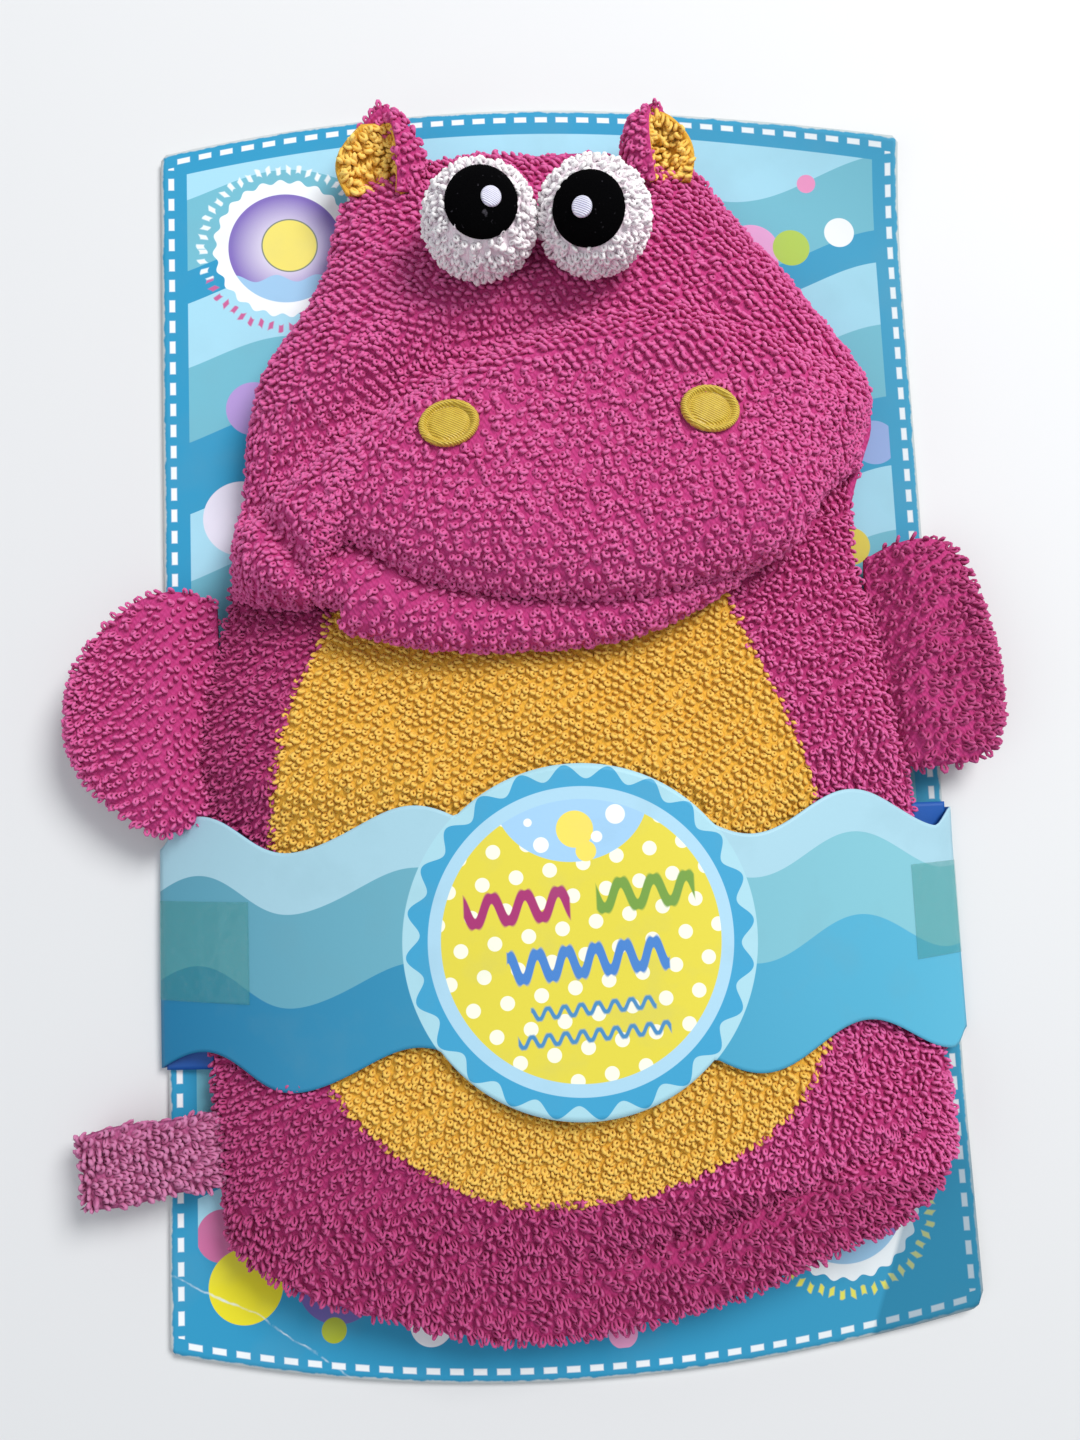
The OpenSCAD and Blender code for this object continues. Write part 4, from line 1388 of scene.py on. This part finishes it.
def make_eye(side, centre, look, name):
    """A stuffed ball of white towelling with a felt pupil and a stitched light."""
    a = np.linspace(0.03, math.pi - 0.03, 30)[:, None]
    b = np.linspace(0, TAU, 49)[None, :]
    shape = np.stack([np.sin(a) * np.cos(b), np.sin(a) * np.sin(b), np.cos(a) + 0 * b], -1)
    ball = centre + shape * EYE_R * [1.02, 1.02, 1.0]
    ball[..., 2] = np.maximum(ball[..., 2], EYE_FOOT_Z + 0.1 * (ball[..., 2] - EYE_FOOT_Z))
    skin = blob(f"eye_cloth_{name}", ball[:, :-1][::-1], white_ground)
    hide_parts(f"eye_cover_{name}", f"eye_wadding_{name}")
    pupil_axis = np.array([look[0], look[1], EYE_R])
    pupil_dir = pupil_axis / np.linalg.norm(pupil_axis)

    def white(p, n):
        away = (p - centre) / np.linalg.norm(p - centre, axis=1, keepdims=True)
        off_pupil = np.degrees(np.arccos(np.clip(away @ pupil_dir, -1, 1))) > 39.5
        return off_pupil & (p[:, 2] > 21.6)

    grid = ball[::-1]
    loops = towelling(f"eye_loops_{name}", grid, white_loop, EYE_LOOPS, 60 + side, white, turn=0)
    reach = math.asin(PUPIL_R / (EYE_R + 1.0))
    pupil = patch_mesh(f"pupil_felt_{name}", centre, EYE_R + 0.2, EYE_R + 1.35, pupil_axis, reach, black_felt)
    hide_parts(f"pupil_{name}")
    glint_at = pupil_axis + np.array([1.6 if side < 0 else -0.9, -0.2, 0])
    reach = math.asin(GLINT_R / (EYE_R + 1.6))
    glint = patch_mesh(
        f"glint_stitch_{name}", centre, EYE_R + 1.2, EYE_R + 1.95, glint_at, reach, glint_thread,
    )
    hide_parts(f"pupil_glint_{name}")
    slots = {"white_terry": (skin, loops), "black_felt": (pupil,), "glint_thread": (glint,)}
    for piece, slot in ((piece, slot) for slot, pieces in slots.items() for piece in pieces):
        put_on(piece, "head")


def make_nostril(at, lean, name, face):
    """A satin-stitched oval with a raised rim, laid on the face."""
    flat = face.reshape(-1, 3)
    near = np.argmin(np.hypot(flat[:, 0] - at[0], flat[:, 1] - at[1]))
    normal = normals(face).reshape(-1, 3)[near]
    base = flat[near] + normal * 0.55
    c, s = math.cos(math.radians(lean)), math.sin(math.radians(lean))
    side = np.array([c, s, 0]) - normal * (normal @ [c, s, 0])
    side /= np.linalg.norm(side)
    front = np.cross(normal, side)
    profile = [
        (0.02, 0.78), (0.25, 0.78), (0.5, 0.74), (0.64, 0.6), (0.70, 0.1), (0.75, 0.5), (0.82, 1.05),
        (0.90, 1.1), (0.97, 0.8), (1.0, 0.2), (0.98, -0.5), (0.5, -0.6), (0.02, -0.6),
    ]
    b = np.linspace(0, TAU, 72, endpoint=False)
    rings = []
    for share, height in profile:
        wobble = 1 + 0.012 * np.sin(b * 31)
        rings.append(
            base
            + side * (5.9 * share * np.cos(b) * wobble)[:, None]
            + front * (4.6 * share * np.sin(b) * wobble)[:, None]
            + normal * height
        )
    made = blob(f"nostril_stitch_{name}", np.array(rings), nostril_thread)
    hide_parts(f"nostril_{name}")
    put_on(made, "head")


def make_ear(side, base, tip, name):
    """A leaf of cloth folded over: its pink back shows beside its yellow hollow, which opens outwards."""
    u = np.linspace(0, 1, 28)[:, None]
    t = np.linspace(0, 1, 41)[None, :]
    # across the leaf, from its low outer edge round the fold to its top edge
    across = table((0, 12.2), (0.25, 5), (0.5, -3.0), (0.68, -6.8), (0.8, -6.2), (1, -2.2))(t)
    height = table((0, -0.5), (0.25, -4.2), (0.5, -4.4), (0.68, -0.8), (0.8, 3.2), (1, 5.2))(t)
    if side > 0:
        across = across * np.where(across > 0, 0.74, 0.92)

    def leaf(length, grow, inward):
        taper = (1 - (u * length) ** (2.8 if side < 0 else 4.0)) ** 0.55
        taper = np.maximum(taper * (0.9 + 0.25 * np.sin(math.pi * u)), 0.06)
        x = across * side * taper * grow
        z = height * taper * grow * 0.9
        line = base + (tip - base) * u[..., None] * length
        grid = np.stack([x, 1.2 * np.sin(t * 5) + 0 * u, z], -1) + line
        n = normals(grid)
        return grid + n * inward * np.sign((n[8, 8] @ [0, 0, 1]) or 1)

    # the lining reaches out past the pink cloth at the low edge
    outer = leaf(0.985, 1.0, 0.0)[:, 6:]
    inner = leaf(0.83 if side < 0 else 0.97, 0.97, 1.4)[:, 2:]
    if normals(outer)[8, 8][2] > 0:
        outer = outer[:, ::-1]
    if normals(inner)[8, 8][2] < 0:
        inner = inner[:, ::-1]
    skin = cloth(f"ear_cloth_{name}", outer, 1.1, pink_ground)
    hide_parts(f"ear_outer_{name}")
    lining = cloth(f"ear_lining_cloth_{name}", inner, 0.8, yellow_ground)
    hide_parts(f"ear_lining_{name}")
    pink_pile = towelling(f"ear_loops_{name}", outer, pink_loop, PINK_LOOPS, 70 + side)
    # pile on the inner face of the pink cloth where it shows past the lining
    bare = (outer - normals(outer) * 1.1)[:, ::-1]
    fold = bare[:, -8:] if outer[8, -1, 2] < outer[8, 0, 2] else bare[:, :8]
    rims = [towelling(f"ear_fold_loops_{name}", fold, pink_loop, PINK_LOOPS, 77 + side)]
    if side < 0:
        rims.append(towelling(f"ear_tip_loops_{name}", bare[20:], pink_loop, PINK_LOOPS, 79))
    yellow_pile = towelling(f"ear_lining_loops_{name}", inner, ear_loop, EAR_LOOPS, 75 + side)
    slots = {"pink_terry": (skin, pink_pile, *rims), "yellow_terry": (lining, yellow_pile)}
    for piece, slot in ((piece, slot) for slot, pieces in slots.items() for piece in pieces):
        put_on(piece, f"{name}_ear")


# ---- arms and hanging loop ----

ARM_Z = 8.3
ARM_HALF_T = 3.4


def make_arm(name, side, low, high, tip_x, root_x):
    """A flat stuffed paddle: rings across it from the side seam to its rounded end."""
    s = np.sin(np.linspace(0, math.pi / 2, 44))
    x = mix(root_x, tip_x, s)
    lo, hi = low(x), high(x)
    mid, half = (lo + hi) / 2, (hi - lo) / 2
    out = abs(x - root_x)
    thick = ARM_HALF_T * (0.3 + 0.7 * smooth(out / 10)) * np.clip((1 - s) / 0.06, 0, 1) ** 0.5
    thick = np.maximum(thick, 0.25)
    mid_z = mix(5.6, ARM_Z, smooth(out / 12))
    a = np.linspace(0, math.pi, 37)
    across = np.sign(np.cos(a)) * abs(np.cos(a)) ** 0.8
    lift = np.sin(a) ** 0.75
    halves = []
    for up in (1, -1):
        y = mid[:, None] - half[:, None] * across[None]
        z = mid_z[:, None] + up * thick[:, None] * lift[None]
        z = z + up * 0.35 * lumps(x[:, None], y, 16, 80 + up) * lift[None] * np.minimum(thick[:, None], 1)
        xx = np.broadcast_to(x[:, None], y.shape)
        halves.append(np.stack([xx, y, z], -1).transpose(1, 0, 2))
    body = f"{name}_arm"
    for up, grid, part in ((1, halves[0], "front"), (-1, halves[1], "back")):
        mean = normals(grid).mean((0, 1))[2]
        if mean * up < 0:
            grid = grid[:, ::-1]
        skin = cloth(f"arm_{part}_cloth_{name}", grid, 0.9, pink_ground)
        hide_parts(f"arm_{part}_{name}")
        kind = PLAIN_LOOPS if up < 0 else ARM_LOOPS if side > 0 else SIDE_LOOPS
        # painted shade: the right arm takes the darker shaded copy of the pink yarn
        yarn = shaded_loop if side > 0 else pink_loop
        loops = towelling(f"arm_{part}_loops_{name}", grid, yarn, kind, 84 + side + up)
        for piece in (skin, loops):
            put_on(piece, body)


arm_left_low = table(
    (-98, 0), (-96.6, -6), (-94, -11.5), (-89, -17.2), (-84, -21.2), (-79, -23.4), (-72, -21.5),
    (-66, -19),
)
arm_left_high = table(
    (-98, 2.4), (-96.6, 7), (-94, 13.4), (-89, 20), (-84, 24.2), (-79, 26.2), (-74, 26.4), (-66, 23),
)
arm_right_low = table((66, -14), (75, -15.6), (86, -15.4), (91.5, -13.6), (94.4, -10.2), (96, -4))
arm_right_high = table((66, 27), (76.3, 32.2), (82, 33), (86.5, 31.8), (91, 25), (93.6, 14), (96, 0))

LOOP_AT = np.array([-71.9, -86.5])
LOOP_LEAN = math.radians(7)
STRAP_T = 1.4


def make_hanging_loop():
    """A strap folded back on itself: lower run, bend, upper run."""
    half_h = 3.0
    length = 23.5
    mid_z = 6.3
    run = [(4.0, -0.6), (1.5, -2.0), (0.0, -half_h)]
    run += [(-s, -half_h) for s in np.linspace(1, length - half_h, 16)]
    for a in np.linspace(0, math.pi, 13)[1:-1]:
        run.append((-length + half_h - half_h * math.sin(a), -half_h * math.cos(a)))
    run += [(-s, half_h) for s in np.linspace(length - half_h, 0.5, 18)] + [(1.5, 2.2), (4.0, 0.9)]
    run = np.array(run)
    w = np.linspace(-1, 1, 17)[None, :]
    half_w = 7.0 + 0.35 * np.sin(run[:, :1] * 0.3)
    along = run[:, :1] + 0 * w
    across = half_w * w
    curl = 0.8 * abs(w) ** 4 * np.where(run[:, 1:] > 0, -1, 1)
    z = mid_z + run[:, 1:] * (1 - 0.10 * smooth((length - 4 + run[:, :1]) / length)) + curl
    c, s = math.cos(LOOP_LEAN), math.sin(LOOP_LEAN)
    x = LOOP_AT[0] + along * c - across * s
    y = LOOP_AT[1] + along * s + across * c
    grid = np.stack([x, y, z], -1)
    if normals(grid)[-8].mean(0)[2] < 0:
        grid = grid[:, ::-1]
    strap = cloth("hanging_loop_cloth", grid, STRAP_T, strap_ground)
    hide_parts("hanging_loop")
    loops = towelling("hanging_loop_loops", grid, strap_loop, LONG_LOOPS, 90, turn=0)
    for piece in (strap, loops):
        put_on(piece, "loop")


# ---- camera, floor, light ----


def make_camera():
    """Nearly straight down on the card, from the middle of its lower half."""
    data = bpy.data.cameras.new("view_camera")
    data.sensor_width = 36.0
    data.lens = 29.125
    made = bpy.data.objects.new("view_camera", data)
    bpy.context.scene.collection.objects.link(made)
    right = Vector((0.99804, -0.04214, 0.04636))
    back = Vector((-0.05062, -0.10644, 0.99303))
    up = back.cross(right)
    turn = Matrix((right, up, back)).transposed()
    made.matrix_world = Matrix.Translation(Vector((-13.72, -28.85, 248.65)) * MM) @ turn.to_4x4()
    bpy.context.scene.camera = made


def make_floor():
    made, _, shader = new_material("floor_paint")
    shader.inputs["Base Color"].default_value = rgb(222, 224, 226)
    shader.inputs["Roughness"].default_value = 0.7
    size = 1500
    corners = [(-size, -size, 0), (size, -size, 0), (size, size, 0), (-size, size, 0)]
    make_mesh("floor", corners, [(0, 1, 2, 3)], made)


def make_lights():
    def lamp(name, place, size, power, colour):
        data = bpy.data.lights.new(name, "AREA")
        data.shape = "DISK"
        data.size = size
        data.energy = power
        data.color = colour
        made = bpy.data.objects.new(name, data)
        bpy.context.scene.collection.objects.link(made)
        made.location = Vector(place)
        made.rotation_mode = "QUATERNION"
        made.rotation_quaternion = (Vector(place) - Vector((0, 0, 0.01))).to_track_quat("Z", "Y")

    lamp("key_light", (0.55, 0.6, 0.95), 0.6, 14.0, (1.0, 0.98, 0.96))
    lamp("fill_light", (-0.8, -0.4, 0.8), 1.0, 2.5, (0.95, 0.98, 1.0))
    world = bpy.data.worlds.new("studio")
    world.use_nodes = True
    world.node_tree.nodes["Background"].inputs["Color"].default_value = (0.93, 0.96, 1.0, 1)
    world.node_tree.nodes["Background"].inputs["Strength"].default_value = 0.46
    bpy.context.scene.world = world
    bpy.context.scene.view_settings.view_transform = "Standard"


make_camera()
make_floor()
make_lights()
make_card()
make_wrap()
tape = tape_material()
make_tape(-1, -47.0, 20.0, 20.0, tape)
make_tape(1, -45.4, 19.4, 12.0, tape)
make_body()
make_belly()
face_grid = make_head()
make_jaw()
make_eye(-1, EYE_LEFT, (0.3, -1.2), "left")
make_eye(1, EYE_RIGHT, (-2.5, -3.5), "right")
make_nostril(NOSTRIL_LEFT, 10, "left", face_grid)
make_nostril(NOSTRIL_RIGHT, -8, "right", face_grid)
make_ear(-1, np.array([-29.2, 110.5, 11.5]), np.array([-29.2, 129.2, 14.0]), "left")
make_ear(1, np.array([29.3, 112.0, 12.5]), np.array([27.8, 128.8, 14.5]), "right")
make_arm("left", -1, arm_left_low, arm_left_high, -97.2, -68.0)
make_arm("right", 1, arm_right_low, arm_right_high, 95.6, 70.0)
make_hanging_loop()

bpy.context.view_layer.update()
